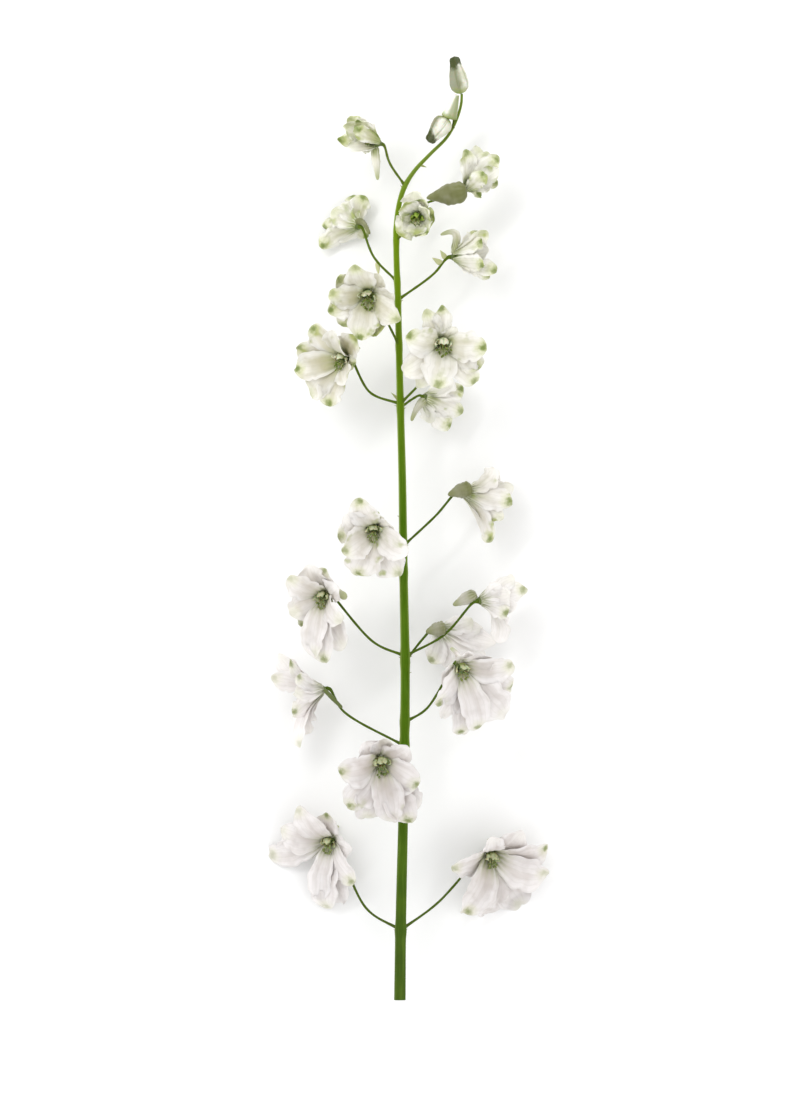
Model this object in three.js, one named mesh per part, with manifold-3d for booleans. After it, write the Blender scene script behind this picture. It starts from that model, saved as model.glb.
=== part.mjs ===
// A cut flower spike of a white delphinium, lying on a table.
//
// Units are millimetres. The table is the plane z = 0 and +Z points up from it. The stem runs along +Y from
// its cut end to the terminal bud. Places in the lists below are measured in the spike's own frame: x across
// the stem, y along it from the cut end, z up from the table. The whole spike is then moved so that the
// origin is the middle of its footprint.
//
// A floret is described by the place where its petals join (base), the way its mouth faces (faces), the tip of
// its spur where that shows, and its petals. A petal of a floret that looks up is given by where its tip lies
// as [x, y]. A petal of a floret seen from the side is given as [clock, length]: the clock angle in degrees,
// from the spike's tip clockwise as seen by someone who looks into the mouth, and the length of the blade.

import * as THREE from "three";
import { mergeVertices } from "three/addons/utils/BufferGeometryUtils.js";
import Module from "manifold-3d";

const wasm = await Module();
wasm.setup();

// ---------- driving dimensions ----------

const STEM_HEIGHT = 24; // height of the stem's axis above the table
const FOOTPRINT_MIDDLE = new THREE.Vector2(4.3, 236); // in the spike's frame
const CLEARANCE = 0.3; // gap between two pieces that touch
const TABLE_BITE = 0.1; // what the table flattens off a petal that lies on it

const BLADE_THICKNESS = 0.7;
const PETAL_WIDTH = 0.64; // full width as a share of the length
const PETAL_CLAW = 0.11; // width at the root as a share of the full width
const PETAL_WIDEST = 0.62; // where the blade is widest, as a share of the length
const PETAL_TIP = 0.48; // width at the blunt tip as a share of the full width

const HUB_RADIUS = 4.4; // the receptacle that the petals grow from
const HUB_HALF_HEIGHT = 2.1;
const SPUR_LENGTH = 15;
const SPUR_ROOT_RADIUS = 2.4;
const SPUR_TIP_RADIUS = 0.9;

const PEDICEL_RADIUS = 0.7;
const PEDICEL_SWELLING = 1.1; // radius where it meets the receptacle and the stem
const BRACT_LENGTH = 6;
const BRACTEOLE_LENGTH = 4;

// The stem's axis as [x, y] and its diameter there, from the cut end to the terminal bud.
const STEM = [
  [0, 0, 5.8],
  [0.4, 35, 5.4],
  [1.6, 90, 4.9],
  [2.6, 150, 4.7],
  [2.6, 172, 4.6],
  [1.8, 215, 4.2],
  [1.2, 260, 3.9],
  [0.2, 298, 3.6],
  [-0.9, 350, 3.2],
  [-1.6, 385, 2.9],
  [0.8, 401, 2.6],
  [3.4, 408, 2.5],
  [8.3, 414.5, 2.3],
  [16.8, 423, 2.1],
  [24, 431.5, 1.9],
  [28.6, 440, 1.7],
  [31, 448, 1.5],
  [31.3, 453, 1.3],
];

// The petals stand in three layers, from the outermost to the innermost. Each layer has its distance from the
// floret's axis at the root, and its slope away from that axis, in degrees, at the root and at the tip.
const OPEN = [
  { root: 3, slope: [31, 94] },
  { root: 2.7, slope: [22, 84] },
  { root: 2.4, slope: [12, 74] },
];
const HALF_OPEN = [
  { root: 2.9, slope: [38, 56] },
  { root: 2.6, slope: [29, 44] },
  { root: 2.4, slope: [20, 34] },
];
const CLOSED = [
  { root: 2.8, slope: [21, 44] },
  { root: 2.6, slope: [16, 34] },
  { root: 2.4, slope: [11, 24] },
];

// node is the height on the stem where the floret's pedicel leaves it, and via a place on the pedicel.
const FLORETS = [
  {
    name: "01",
    node: 35,
    via: [-20, 48.5, 15],
    base: [-34.5, 79.5, 6.4],
    faces: [-0.35, -0.4, 0.85],
    spurTip: [-31, 86, 0.4],
    tips: [
      [-34, 94], [-25, 75.5], [-22.5, 59], [-30, 44],
      [-38, 43], [-66.5, 72.5], [-60.5, 85], [-49.5, 99],
    ],
  },
  {
    name: "02",
    node: 35,
    via: [25, 53, 19],
    base: [45, 73, 10],
    faces: [0.3, -0.6, 0.74],
    spurTip: [44.5, 79.5, 2],
    tips: [
      [61.5, 84], [75, 75.5], [73, 60.5], [63.5, 43.5],
      [43.5, 40.5], [31, 46.5], [26.5, 64], [47.5, 84.5],
    ],
  },
  {
    name: "03",
    node: 94,
    via: [-5, 108, 30],
    base: [-9.5, 120.5, 49],
    faces: [0.1, -0.4, 0.91],
    tips: [
      [-7, 133.5], [5, 129], [10, 109.5], [8.5, 96],
      [-3.5, 91.5], [-26, 98.5], [-30.5, 117], [-18.5, 130],
    ],
  },
  {
    name: "04",
    node: 127,
    via: [-28.5, 144.5, 19],
    base: [-39, 155, 15.7],
    faces: [-0.95, -0.15, 0.2],
    spurTip: [-29, 149, 25],
    spurSide: [0, -0.2, 1],
    petals: [[5, 29, 2], [50, 30, 2], [95, 27, 2], [135, 27, 1], [185, 30, 0], [240, 26, 1], [300, 28, 1]],
  },
  {
    name: "05",
    node: 139,
    via: [17, 150, 31],
    base: [29.5, 167.5, 44],
    faces: [0.4, -0.5, 0.77],
    tips: [
      [32.5, 176], [47.5, 174.5], [55, 167.5], [56.5, 155],
      [50.5, 141.5], [37.5, 136], [28, 134.5], [20, 150],
    ],
  },
  {
    name: "06",
    node: 172,
    via: [-17.5, 185, 26],
    base: [-37, 202.5, 31],
    faces: [-0.45, -0.3, 0.84],
    spurTip: [-25, 203, 34],
    tips: [
      [-43, 217], [-33.5, 212], [-26.5, 198.5], [-28, 177.5],
      [-38.5, 169.5], [-54.5, 189.5], [-57, 201], [-54.5, 212],
    ],
  },
  {
    name: "07",
    node: 172,
    via: [21, 180, 23],
    base: [40.5, 202, 30],
    faces: [0.92, 0.08, -0.38],
    spurTip: [25.5, 200, 37],
    layers: CLOSED,
    spurRoot: 2.6,
    spurSide: [0, 1, 0.5],
    petals: [[0, 21], [60, 22], [110, 21], [170, 17], [230, 20], [300, 22]],
  },
  {
    name: "08",
    node: 169,
    via: [9, 178.5, 24],
    base: [18.5, 184, 20],
    faces: [0.6, -0.4, -0.69],
    spurTip: [22, 188, 30],
    petals: [[5, 20], [60, 20], [115, 20], [170, 22], [215, 20], [265, 27], [315, 25]],
  },
  {
    name: "09",
    node: 214,
    via: [-5, 224, 32],
    base: [-12, 236.5, 48],
    faces: [-0.15, -0.4, 0.9],
    tips: [
      [-20.5, 250], [-10, 241.5], [1, 233.5], [4, 223.5],
      [-1, 212], [-19.5, 212], [-29.5, 224], [-31, 238],
    ],
  },
  {
    name: "10",
    node: 227,
    via: [20, 244, 23],
    base: [31.5, 253, 18.6],
    faces: [0.93, -0.28, -0.22],
    spurTip: [25, 253.5, 30],
    layers: HALF_OPEN,
    spurRoot: 2.8,
    petals: [[0, 19, 0], [50, 25, 2], [100, 26, 2], [140, 26, 1], [182, 25, 0], [240, 25, 1], [300, 23, 1]],
  },
  {
    name: "11",
    node: 298,
    via: [-16, 304, 25],
    base: [-27, 320.5, 32],
    faces: [-0.6, -0.2, 0.77],
    tips: [
      [-27, 338.5], [-21, 325.5], [-24.5, 305], [-35.5, 296],
      [-45, 302], [-51.5, 316], [-51, 324.5], [-43.5, 337.5],
    ],
  },
  {
    name: "12",
    node: 298,
    via: [12, 312, 32],
    base: [20, 326.5, 46],
    faces: [0.2, -0.25, 0.95],
    tips: [
      [19.5, 344.5], [30.5, 335.5], [42.5, 324.5], [38.5, 308], [27, 306],
      [13.5, 304.5], [4.5, 309.5], [3, 328], [11.5, 337.5],
    ],
  },
  {
    name: "13",
    node: 296,
    via: [4.5, 299.5, 24],
    base: [11.5, 301, 21],
    faces: [0.7, -0.35, -0.62],
    spurTip: [6, 291, 28],
    spurSide: [-0.4, -0.8, 0.4],
    petals: [[5, 22], [60, 24], [115, 21], [170, 18], [225, 22], [270, 23], [315, 24]],
  },
  {
    name: "14",
    node: 327,
    via: [-7, 341, 32],
    base: [-15.5, 352.5, 46],
    faces: [-0.1, -0.42, 0.9],
    tips: [
      [-18, 364], [-5, 355], [-0.5, 341], [-2.5, 331],
      [-12, 329], [-21, 329.5], [-37, 343.5], [-31.5, 358],
    ],
  },
  {
    name: "15",
    node: 359,
    via: [-15.5, 372, 17],
    base: [-21.5, 388.5, 13.6],
    faces: [-0.6, 0.3, -0.74],
    spurTip: [-16.5, 386.5, 26],
    bracteole: 0.62,
    tips: [[-15, 401.5], [-16, 391], [-27, 382], [-39.5, 376], [-40, 388.5], [-32, 399.5], [-23.5, 403.5]],
  },
  {
    name: "16",
    node: 350,
    via: [15, 360, 24],
    base: [27.5, 371.5, 24],
    faces: [0.94, -0.08, 0.33],
    spurTip: [20, 382.5, 26],
    layers: CLOSED,
    petals: [[355, 20, 0], [50, 18, 2], [110, 18, 1], [170, 23, 2], [205, 19, 1], [300, 18, 1]],
  },
  {
    name: "17",
    node: 380,
    via: [5, 386, 32],
    base: [9.5, 391, 42],
    faces: [-0.2, -0.2, 0.96],
    layers: HALF_OPEN,
    tips: [[7, 399.5], [14, 395], [14.5, 378], [6, 379.5], [-1, 380.5], [0, 394]],
  },
  {
    name: "18",
    node: 382,
    via: [10, 393.5, 18],
    base: [27.5, 404, 26],
    faces: [0.75, 0.55, 0.36],
    spurTip: [13.5, 400.5, 31],
    layers: HALF_OPEN,
    spurRoot: 4.6,
    petals: [[335, 21, 1], [10, 26, 2], [60, 27, 2], [110, 24, 1], [160, 19, 2], [215, 15, 1], [280, 20, 1]],
  },
  {
    name: "19",
    node: 407,
    via: [-5, 420, 25],
    base: [-11, 428, 26],
    faces: [-0.85, 0.3, 0.43],
    spurTip: [-11, 412, 20],
    layers: CLOSED,
    spurSide: [0, -1, 0],
    petals: [[0, 18, 0], [40, 21, 1], [90, 23, 2], [150, 24, 1], [195, 15, 1], [300, 19, 1]],
  },
];

// Closed buds: where they sit, the way they point, and their length and greatest radius.
const BUDS = [
  {
    name: "bud_side",
    node: 436,
    via: [26, 440.5, 25],
    base: [22, 441.5, 27],
    faces: [-0.54, -0.83, 0.1],
    length: 15.5,
    radius: 4.8,
    spurTip: [27.6, 449, 33],
  },
  { name: "bud_top", base: [31.3, 453, STEM_HEIGHT], faces: [-0.26, 0.97, 0], length: 19.5, radius: 4.5 },
];

// Small leaflets on the stem that carry no floret: their height and the side of the stem they are on.
const LOOSE_BRACTS = [[417.5, 1]];

// ---------- small tools ----------

const radians = THREE.MathUtils.degToRad;
const vector = (list) => new THREE.Vector3(...list);

// A number from 0 to 1 that is always the same for the same key.
function draw(key) {
  const wave = Math.sin(key * 12.9898) * 43758.5453;
  return wave - Math.floor(wave);
}

const spread = (key, amount) => (draw(key) * 2 - 1) * amount;

// A three.js geometry as a manifold-3d solid.
function solid(geometry) {
  const bare = geometry.clone();
  bare.deleteAttribute("normal");
  bare.deleteAttribute("uv");
  const merged = mergeVertices(bare, 1e-4);
  return new wasm.Manifold(
    new wasm.Mesh({
      numProp: 3,
      vertProperties: new Float32Array(merged.attributes.position.array),
      triVerts: new Uint32Array(merged.index.array),
    }),
  );
}

// The same, with the faces turned round if they point inwards.
function turnedOut(geometry) {
  const body = solid(geometry);
  if (body.volume() > 0) return body;
  geometry.setIndex([...geometry.index.array].reverse());
  return solid(geometry);
}

const fuse = (solids) => solids.reduce((whole, piece) => whole.add(piece));

// A manifold-3d solid as a named three.js mesh.
function meshOf(name, body, material) {
  const made = body.getMesh();
  const geometry = new THREE.BufferGeometry();
  geometry.setAttribute("position", new THREE.BufferAttribute(made.vertProperties, 3));
  geometry.setIndex(new THREE.BufferAttribute(made.triVerts, 1));
  const mesh = new THREE.Mesh(geometry, material);
  mesh.name = name;
  return mesh;
}

// A closed round bar along a curve: a cylinder whose rings are moved onto the curve, each to radiusAt(share).
function bar(curve, radiusAt, sides, steps) {
  const geometry = new THREE.CylinderGeometry(1, 1, 1, sides, steps);
  const frames = curve.computeFrenetFrames(steps);
  const place = geometry.attributes.position;
  const p = new THREE.Vector3();
  for (let i = 0; i < place.count; i++) {
    p.fromBufferAttribute(place, i);
    const ring = Math.round((0.5 + p.y) * steps);
    const share = ring / steps;
    const moved = curve.getPointAt(share);
    moved.addScaledVector(frames.normals[ring], p.x * radiusAt(share));
    moved.addScaledVector(frames.binormals[ring], -p.z * radiusAt(share));
    place.setXYZ(i, moved.x, moved.y, moved.z);
  }
  return solid(geometry);
}

// A closed blade on surface(along, across), which gives a point and the direction of its inner face there, with
// a row of points at each share of its length in shares. Both faces are split into triangles alike.
function blade(surface, shares, acrossSteps) {
  const alongSteps = shares.length - 1;
  const rows = shares.length;
  const columns = acrossSteps + 1;
  const positions = [];
  for (const side of [0.5, -0.5]) {
    for (let i = 0; i < rows; i++) {
      for (let j = 0; j < columns; j++) {
        const { point, inward } = surface(shares[i], (j / acrossSteps) * 2 - 1);
        positions.push(...point.addScaledVector(inward, side * BLADE_THICKNESS));
      }
    }
  }
  const at = (side, i, j) => (side * rows + i) * columns + j;
  const triangles = [];
  const quad = (a, b, c, d) => triangles.push(a, b, c, a, c, d);
  for (let i = 0; i < alongSteps; i++) {
    for (let j = 0; j < acrossSteps; j++) {
      quad(at(0, i, j), at(0, i, j + 1), at(0, i + 1, j + 1), at(0, i + 1, j));
      const back = [at(1, i, j), at(1, i, j + 1), at(1, i + 1, j + 1), at(1, i + 1, j)];
      triangles.push(back[0], back[2], back[1], back[0], back[3], back[2]);
    }
    quad(at(0, i, 0), at(0, i + 1, 0), at(1, i + 1, 0), at(1, i, 0));
    quad(at(1, i, acrossSteps), at(1, i + 1, acrossSteps), at(0, i + 1, acrossSteps), at(0, i, acrossSteps));
  }
  for (let j = 0; j < acrossSteps; j++) {
    quad(at(1, 0, j), at(1, 0, j + 1), at(0, 0, j + 1), at(0, 0, j));
    quad(at(0, alongSteps, j), at(0, alongSteps, j + 1), at(1, alongSteps, j + 1), at(1, alongSteps, j));
  }
  const geometry = new THREE.BufferGeometry();
  geometry.setAttribute("position", new THREE.Float32BufferAttribute(positions, 3));
  geometry.setIndex(triangles);
  return turnedOut(geometry);
}

// ---------- a floret's own frame ----------

// The axis out of the mouth, the direction of twelve o'clock and that of three o'clock.
function mouthFrame(faces) {
  const axis = vector(faces).normalize();
  const twelve = new THREE.Vector3(0, 1, 0).addScaledVector(axis, -axis.y).normalize();
  const three = twelve.clone().cross(axis);
  return { axis, twelve, three };
}

function clockDirection(frame, clock) {
  const angle = radians(clock);
  return frame.twelve
    .clone()
    .multiplyScalar(Math.cos(angle))
    .addScaledVector(frame.three, Math.sin(angle));
}

// Half the width of a blade as a share of its greatest half width: a narrow claw, a broad middle, a blunt tip.
function outline(along, claw) {
  if (along < PETAL_WIDEST) {
    const grown = Math.sin((Math.PI / 2) * (along / PETAL_WIDEST)) ** 2.5;
    return claw + (1 - claw) * grown;
  }
  const past = (along - PETAL_WIDEST) / (1 - PETAL_WIDEST);
  return 1 - (1 - PETAL_TIP) * past ** 2.4;
}

// A blade whose midrib is an arc that leaves the axis at slope[0] degrees and ends at slope[1]. Its two halves
// fold up about the midrib by fold degrees and it turns about the midrib by twist degrees, both towards the
// tip, and its edges wave by ripple millimetres.
function petalSurface(petal) {
  const { base, frame, clock, length, width, claw, slope, root, height, fold, twist, ripple, key } = petal;
  const outward = clockDirection(frame, clock);
  const sideways = frame.axis.clone().cross(outward);
  const [start, end] = slope.map(radians);
  return (share, across) => {
    const along = share - 0.09 * share ** 3 * across ** 2;
    const angle = start + (end - start) * along;
    const out = root + (length * (Math.cos(start) - Math.cos(angle))) / (end - start);
    const up = height + (length * (Math.sin(angle) - Math.sin(start))) / (end - start);
    const inward = frame.axis
      .clone()
      .multiplyScalar(Math.sin(angle))
      .addScaledVector(outward, -Math.cos(angle));
    const half = (width / 2) * outline(share, claw);
    const lean = radians(twist) * along;
    const tilt = radians(fold) * Math.abs(across) * along;
    const phase = 5 * draw(key) + 2 * Math.sign(across);
    const wave = ripple * along * Math.abs(across) * Math.sin(9 * along + phase);
    const aside = across * half * Math.cos(tilt);
    const rise = Math.abs(across) * half * Math.sin(tilt) + wave;
    const point = base
      .clone()
      .addScaledVector(frame.axis, up)
      .addScaledVector(outward, out)
      .addScaledVector(sideways, aside * Math.cos(lean) - rise * Math.sin(lean))
      .addScaledVector(inward, rise * Math.cos(lean) + aside * Math.sin(lean));
    return { point: aboveTable(point, inward), inward };
  };
}

// A petal that would reach through the table lies on it.
function aboveTable(point, inward) {
  point.z = Math.max(point.z, (BLADE_THICKNESS / 2) * Math.abs(inward.z) - TABLE_BITE);
  return point;
}

// ---------- the pieces of a floret ----------

function hub(base, frame) {
  const geometry = new THREE.CylinderGeometry(HUB_RADIUS, HUB_RADIUS * 0.8, HUB_HALF_HEIGHT * 2, 5);
  geometry.applyQuaternion(new THREE.Quaternion().setFromUnitVectors(new THREE.Vector3(0, 1, 0), frame.axis));
  geometry.translate(base.x, base.y, base.z);
  return solid(geometry);
}

// The hollow tail of the uppermost sepal: it leaves the hub's side and runs back beside the pedicel. Where its
// tip isn't given, it lies hidden behind the petals.
function spur({ base: place, spurTip, spurSide, spurRoot }, frame) {
  const base = vector(place);
  const rootRadius = spurRoot ?? SPUR_ROOT_RADIUS;
  const side = spurSide ? vector(spurSide).normalize() : frame.twelve;
  const hidden = base.clone().addScaledVector(frame.axis, -SPUR_LENGTH * 0.8);
  hidden.addScaledVector(side, SPUR_LENGTH * 0.3);
  const route = new THREE.QuadraticBezierCurve3(
    base.clone().addScaledVector(side, 1.8).addScaledVector(frame.axis, 0.4),
    base.clone().addScaledVector(side, 4 + rootRadius).addScaledVector(frame.axis, -2.5),
    spurTip ? vector(spurTip) : hidden,
  );
  const radiusAt = (share) => {
    if (share === 0) return 1.4;
    return THREE.MathUtils.lerp(rootRadius, SPUR_TIP_RADIUS, share);
  };
  return bar(route, radiusAt, 5, 2);
}

const PETAL_ROWS = [0, 0.32, 0.76, 1];
const PETAL_START = -1; // height of the petals' roots above the hub's middle
const SHORTEST_PETAL = 14;
const LONGEST_PETAL = 36;
const WIDEST_PETAL = 17.5;

// The [clock, length] of the blade of a layer whose tip, seen from above, lies at a place, found by halving.
function reachTo([tipX, tipY], base, { axis, twelve, three }, { root, slope }) {
  const [start, end] = slope.map(radians);
  const out = (Math.cos(start) - Math.cos(end)) / (end - start);
  const up = (Math.sin(end) - Math.sin(start)) / (end - start);
  const area = twelve.x * three.y - twelve.y * three.x;
  let low = SHORTEST_PETAL;
  let high = LONGEST_PETAL;
  let clock = 0;
  for (let i = 0; i < 24; i++) {
    const length = (low + high) / 2;
    const x = (tipX - base.x - axis.x * (PETAL_START + up * length)) / (root + out * length);
    const y = (tipY - base.y - axis.y * (PETAL_START + up * length)) / (root + out * length);
    const toTwelve = (x * three.y - y * three.x) / area;
    const toThree = (y * twelve.x - x * twelve.y) / area;
    clock = THREE.MathUtils.radToDeg(Math.atan2(toThree, toTwelve));
    if (Math.hypot(toTwelve, toThree) > 1) low = length;
    else high = length;
  }
  return [clock, low];
}

function petalsOf(floret, number) {
  const frame = mouthFrame(floret.faces);
  const base = vector(floret.base);
  const layers = floret.layers ?? OPEN;
  const blades = (floret.petals ?? floret.tips).map((entry, i) => {
    const key = number * 20 + i;
    const { root, slope } = layers[floret.petals ? (entry[2] ?? i % 3) : i % 3];
    const layer = { root, slope: [slope[0], slope[1] + spread(key, 5)] };
    const [clock, length] = floret.tips ? reachTo(entry, base, frame, layer) : entry;
    return blade(
      petalSurface({
        base,
        frame,
        clock,
        length,
        width: Math.min(length * PETAL_WIDTH, WIDEST_PETAL),
        claw: PETAL_CLAW,
        slope: layer.slope,
        root,
        height: PETAL_START,
        fold: 12 + 12 * draw(key + 0.5),
        twist: spread(key + 0.7, 10),
        ripple: 0.6,
        key,
      }),
      PETAL_ROWS,
      2,
    );
  });
  return fuse([hub(base, frame), spur(floret, frame), ...blades]);
}

// The eye as one skin: four small upright petals on the spur's side, a low rim round the rest, and a bundle of
// stamens in the middle. There is one petal or gap, and one stamen or gap, for each of its twelve sides.
const EYE_SIDES = 12;
const EYE_PETAL_HEIGHT = 8;
const EYE_RIM_HEIGHT = 3;
const STAMEN_HEIGHT = 6;

function eyeOf(floret, number) {
  const frame = mouthFrame(floret.faces);
  const size = floret.layers ? 0.7 : 1;
  const base = vector(floret.base).addScaledVector(frame.axis, HUB_HALF_HEIGHT + CLEARANCE);
  const geometry = new THREE.CylinderGeometry(1, 1, 1, EYE_SIDES, 4);
  const place = geometry.attributes.position;
  const p = new THREE.Vector3();
  for (let i = 0; i < place.count; i++) {
    p.fromBufferAttribute(place, i);
    const ring = Math.round((0.5 + p.y) * 4);
    const side = Math.round((Math.atan2(p.x, p.z) / (2 * Math.PI)) * EYE_SIDES + EYE_SIDES) % EYE_SIDES;
    const { radius, height } = eyeRing(ring, side, number);
    const axial = Math.hypot(p.x, p.z) < 0.01;
    const direction = clockDirection(frame, side * (360 / EYE_SIDES));
    const up = axial && ring === 4 ? EYE_RIM_HEIGHT : height;
    const moved = base.clone().addScaledVector(frame.axis, up * size);
    if (!axial) moved.addScaledVector(direction, radius * size);
    place.setXYZ(i, moved.x, moved.y, moved.z);
  }
  return turnedOut(geometry);
}

// The rings of the eye's skin from its foot: outer rim, inner rim, floor, and the tips of the stamens.
function eyeRing(ring, side, number) {
  const petal = side % 2 === 1 && (side <= 3 || side >= EYE_SIDES - 3);
  const rim = petal ? EYE_PETAL_HEIGHT + spread(number * 9 + side, 1) : EYE_RIM_HEIGHT;
  const reach = petal ? 3.3 : 1.9;
  const stamen = side % 2 === 0;
  return [
    { radius: 1.3, height: 0 },
    { radius: reach, height: rim },
    { radius: reach - 0.8, height: rim },
    { radius: 0.8, height: 1.4 },
    stamen
      ? { radius: 1.5, height: STAMEN_HEIGHT + spread(number * 7 + side, 1) }
      : { radius: 0.8, height: EYE_RIM_HEIGHT },
  ][ring];
}

// A closed bud: an egg with a furrow where each of its five sepals overlaps the next, and its spur if it shows.
function budOf(bud) {
  const { base, faces, length, radius, spurTip } = bud;
  const frame = mouthFrame(faces);
  const geometry = new THREE.SphereGeometry(1, 10, 7);
  const place = geometry.attributes.position;
  const p = new THREE.Vector3();
  for (let i = 0; i < place.count; i++) {
    p.fromBufferAttribute(place, i);
    const share = (p.y + 1) / 2;
    const around = Math.atan2(p.z, p.x);
    const belly = 1.25 - 0.75 * share;
    const furrow = 1 - 0.12 * Math.cos((5 / 2) * around + 2 * share) ** 8;
    const moved = vector(base).addScaledVector(frame.axis, CLEARANCE + share * length);
    moved.addScaledVector(frame.three, p.x * radius * belly * furrow);
    moved.addScaledVector(frame.twelve, p.z * radius * belly * furrow);
    place.setXYZ(i, moved.x, moved.y, moved.z);
  }
  if (!spurTip) return turnedOut(geometry);
  const root = vector(base).addScaledVector(frame.axis, length * 0.25).addScaledVector(frame.three, 1);
  const route = new THREE.LineCurve3(root, vector(spurTip));
  const radiusAt = (share) => THREE.MathUtils.lerp(SPUR_ROOT_RADIUS, SPUR_TIP_RADIUS, share);
  return fuse([turnedOut(geometry), bar(route, radiusAt, 5, 2)]);
}

// ---------- the stem with its pedicels and bracts ----------

const stemCurve = new THREE.CatmullRomCurve3(STEM.map(([x, y]) => new THREE.Vector3(x, y, STEM_HEIGHT)));

// The share of the stem's length at a height y, found by halving.
function stemShareAt(y) {
  let low = 0;
  let high = 1;
  for (let i = 0; i < 30; i++) {
    const middle = (low + high) / 2;
    if (stemCurve.getPointAt(middle).y < y) low = middle;
    else high = middle;
  }
  return low;
}

function stemRadius(y) {
  const above = STEM.findIndex((row) => row[1] >= y);
  if (above === 0) return STEM[0][2] / 2;
  if (above < 0) return STEM.at(-1)[2] / 2;
  const [low, high] = [STEM[above - 1], STEM[above]];
  return THREE.MathUtils.mapLinear(y, low[1], high[1], low[2], high[2]) / 2;
}

// A pedicel's centreline: out of the stem, through the place it passes, and up to the back of the floret's hub
// or to the foot of the bud.
function pedicelRoute({ node, via, base, faces, length }) {
  const root = stemCurve.getPointAt(stemShareAt(node));
  const { axis } = mouthFrame(faces);
  const isBud = length !== undefined;
  const end = vector(base);
  if (!isBud) end.addScaledVector(axis, -HUB_HALF_HEIGHT - 1.6 * CLEARANCE);
  const nearEnd = end.clone().addScaledVector(axis, isBud ? -2 : -4);
  return new THREE.CatmullRomCurve3([root, vector(via), nearEnd, end]);
}

function pedicel(floret) {
  const route = pedicelRoute(floret);
  const radiusAt = (share) => {
    const atRoot = Math.max(0, 1 - share / 0.12);
    const atEnd = Math.max(0, (share - 0.82) / 0.18);
    return PEDICEL_RADIUS + (PEDICEL_SWELLING - PEDICEL_RADIUS) * Math.max(atRoot, atEnd);
  };
  return bar(route, radiusAt, 4, 5);
}

// A narrow pointed leaflet: a flat blade that rises from root along direction.
function leaflet(root, direction, length, width) {
  const along = direction.clone().normalize();
  const sideways = new THREE.Vector3(0, 0, 1).cross(along).normalize();
  const inward = along.clone().cross(sideways);
  return blade(
    (share, across) => ({
      point: root
        .clone()
        .addScaledVector(along, share * length)
        .addScaledVector(sideways, (across * width * (1 - 0.75 * share)) / 2)
        .addScaledVector(inward, share ** 2 * length * 0.18),
      inward: inward.clone(),
    }),
    [0, 1],
    1,
  );
}

function stem() {
  const pieces = [bar(stemCurve, (share) => stemRadius(stemCurve.getPointAt(share).y), 8, 26)];
  for (const plant of [...FLORETS, ...BUDS.filter((bud) => bud.node)]) {
    pieces.push(pedicel(plant));
    const route = pedicelRoute(plant);
    const bractRoot = stemCurve.getPointAt(stemShareAt(plant.node - 1.8));
    if (plant.base[2] < STEM_HEIGHT + 15) {
      pieces.push(leaflet(bractRoot, route.getTangentAt(0), stemRadius(plant.node) + BRACT_LENGTH, 1.8));
    }
    if (!plant.bracteole) continue;
    const outwards = new THREE.Vector3(0.6 * Math.sign(plant.base[0]), 0, 0.3);
    const aside = route.getTangentAt(plant.bracteole).add(outwards);
    pieces.push(leaflet(route.getPointAt(plant.bracteole), aside, BRACTEOLE_LENGTH, 1.2));
  }
  for (const [height, side] of LOOSE_BRACTS) {
    const root = stemCurve.getPointAt(stemShareAt(height));
    const length = stemRadius(height) + BRACT_LENGTH * 0.5;
    pieces.push(leaflet(root, new THREE.Vector3(side, 0.5, 0.1), length, 1.8));
  }
  return fuse(pieces);
}

// ---------- the spike ----------

const leafGreen = new THREE.MeshStandardMaterial({ color: 0x4f7a1c, roughness: 0.55, metalness: 0 });
const petalWhite = new THREE.MeshStandardMaterial({ color: 0xece9e4, roughness: 0.6, metalness: 0 });
const eyeGreen = new THREE.MeshStandardMaterial({ color: 0xaab46e, roughness: 0.6, metalness: 0 });
const budWhite = new THREE.MeshStandardMaterial({ color: 0xd5d8bd, roughness: 0.6, metalness: 0 });

const table = new THREE.BoxGeometry(400, 800, 40);
table.translate(0, 300, -20);
const belowTable = solid(table);

const spike = new THREE.Group();
spike.add(meshOf("stem", stem(), leafGreen));
FLORETS.forEach((floret, number) => {
  const petals = petalsOf(floret, number).subtract(belowTable);
  spike.add(meshOf(`floret_${floret.name}_petals`, petals, petalWhite));
  spike.add(meshOf(`floret_${floret.name}_eye`, eyeOf(floret, number), eyeGreen));
});
for (const bud of BUDS) spike.add(meshOf(bud.name, budOf(bud), budWhite));

spike.position.set(-FOOTPRINT_MIDDLE.x, -FOOTPRINT_MIDDLE.y, 0);
const part = new THREE.Group();
part.add(spike);

export default part;
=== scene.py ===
import bpy
import numpy as np
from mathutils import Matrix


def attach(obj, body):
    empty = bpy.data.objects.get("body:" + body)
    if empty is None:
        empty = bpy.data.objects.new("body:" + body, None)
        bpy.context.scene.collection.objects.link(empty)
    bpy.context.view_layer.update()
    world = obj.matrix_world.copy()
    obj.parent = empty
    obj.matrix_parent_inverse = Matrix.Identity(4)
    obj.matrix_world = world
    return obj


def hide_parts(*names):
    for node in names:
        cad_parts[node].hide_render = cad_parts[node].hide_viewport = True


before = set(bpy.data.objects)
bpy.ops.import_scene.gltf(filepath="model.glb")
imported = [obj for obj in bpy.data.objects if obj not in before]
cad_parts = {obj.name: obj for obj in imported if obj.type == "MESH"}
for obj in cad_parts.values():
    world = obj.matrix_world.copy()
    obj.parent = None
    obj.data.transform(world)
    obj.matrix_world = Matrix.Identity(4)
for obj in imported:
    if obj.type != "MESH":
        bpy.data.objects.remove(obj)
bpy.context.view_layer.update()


# ---------- the stem, with its pedicels and bracts ----------
# One green shoot, firm and watery: a faintly ribbed stem that thins from its square cut to the tip bud, a
# wiry pedicel to every floret, swollen where it leaves the stem and where it carries the flower, and a narrow
# bract under each. It grew as one, so it is one piece.

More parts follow.
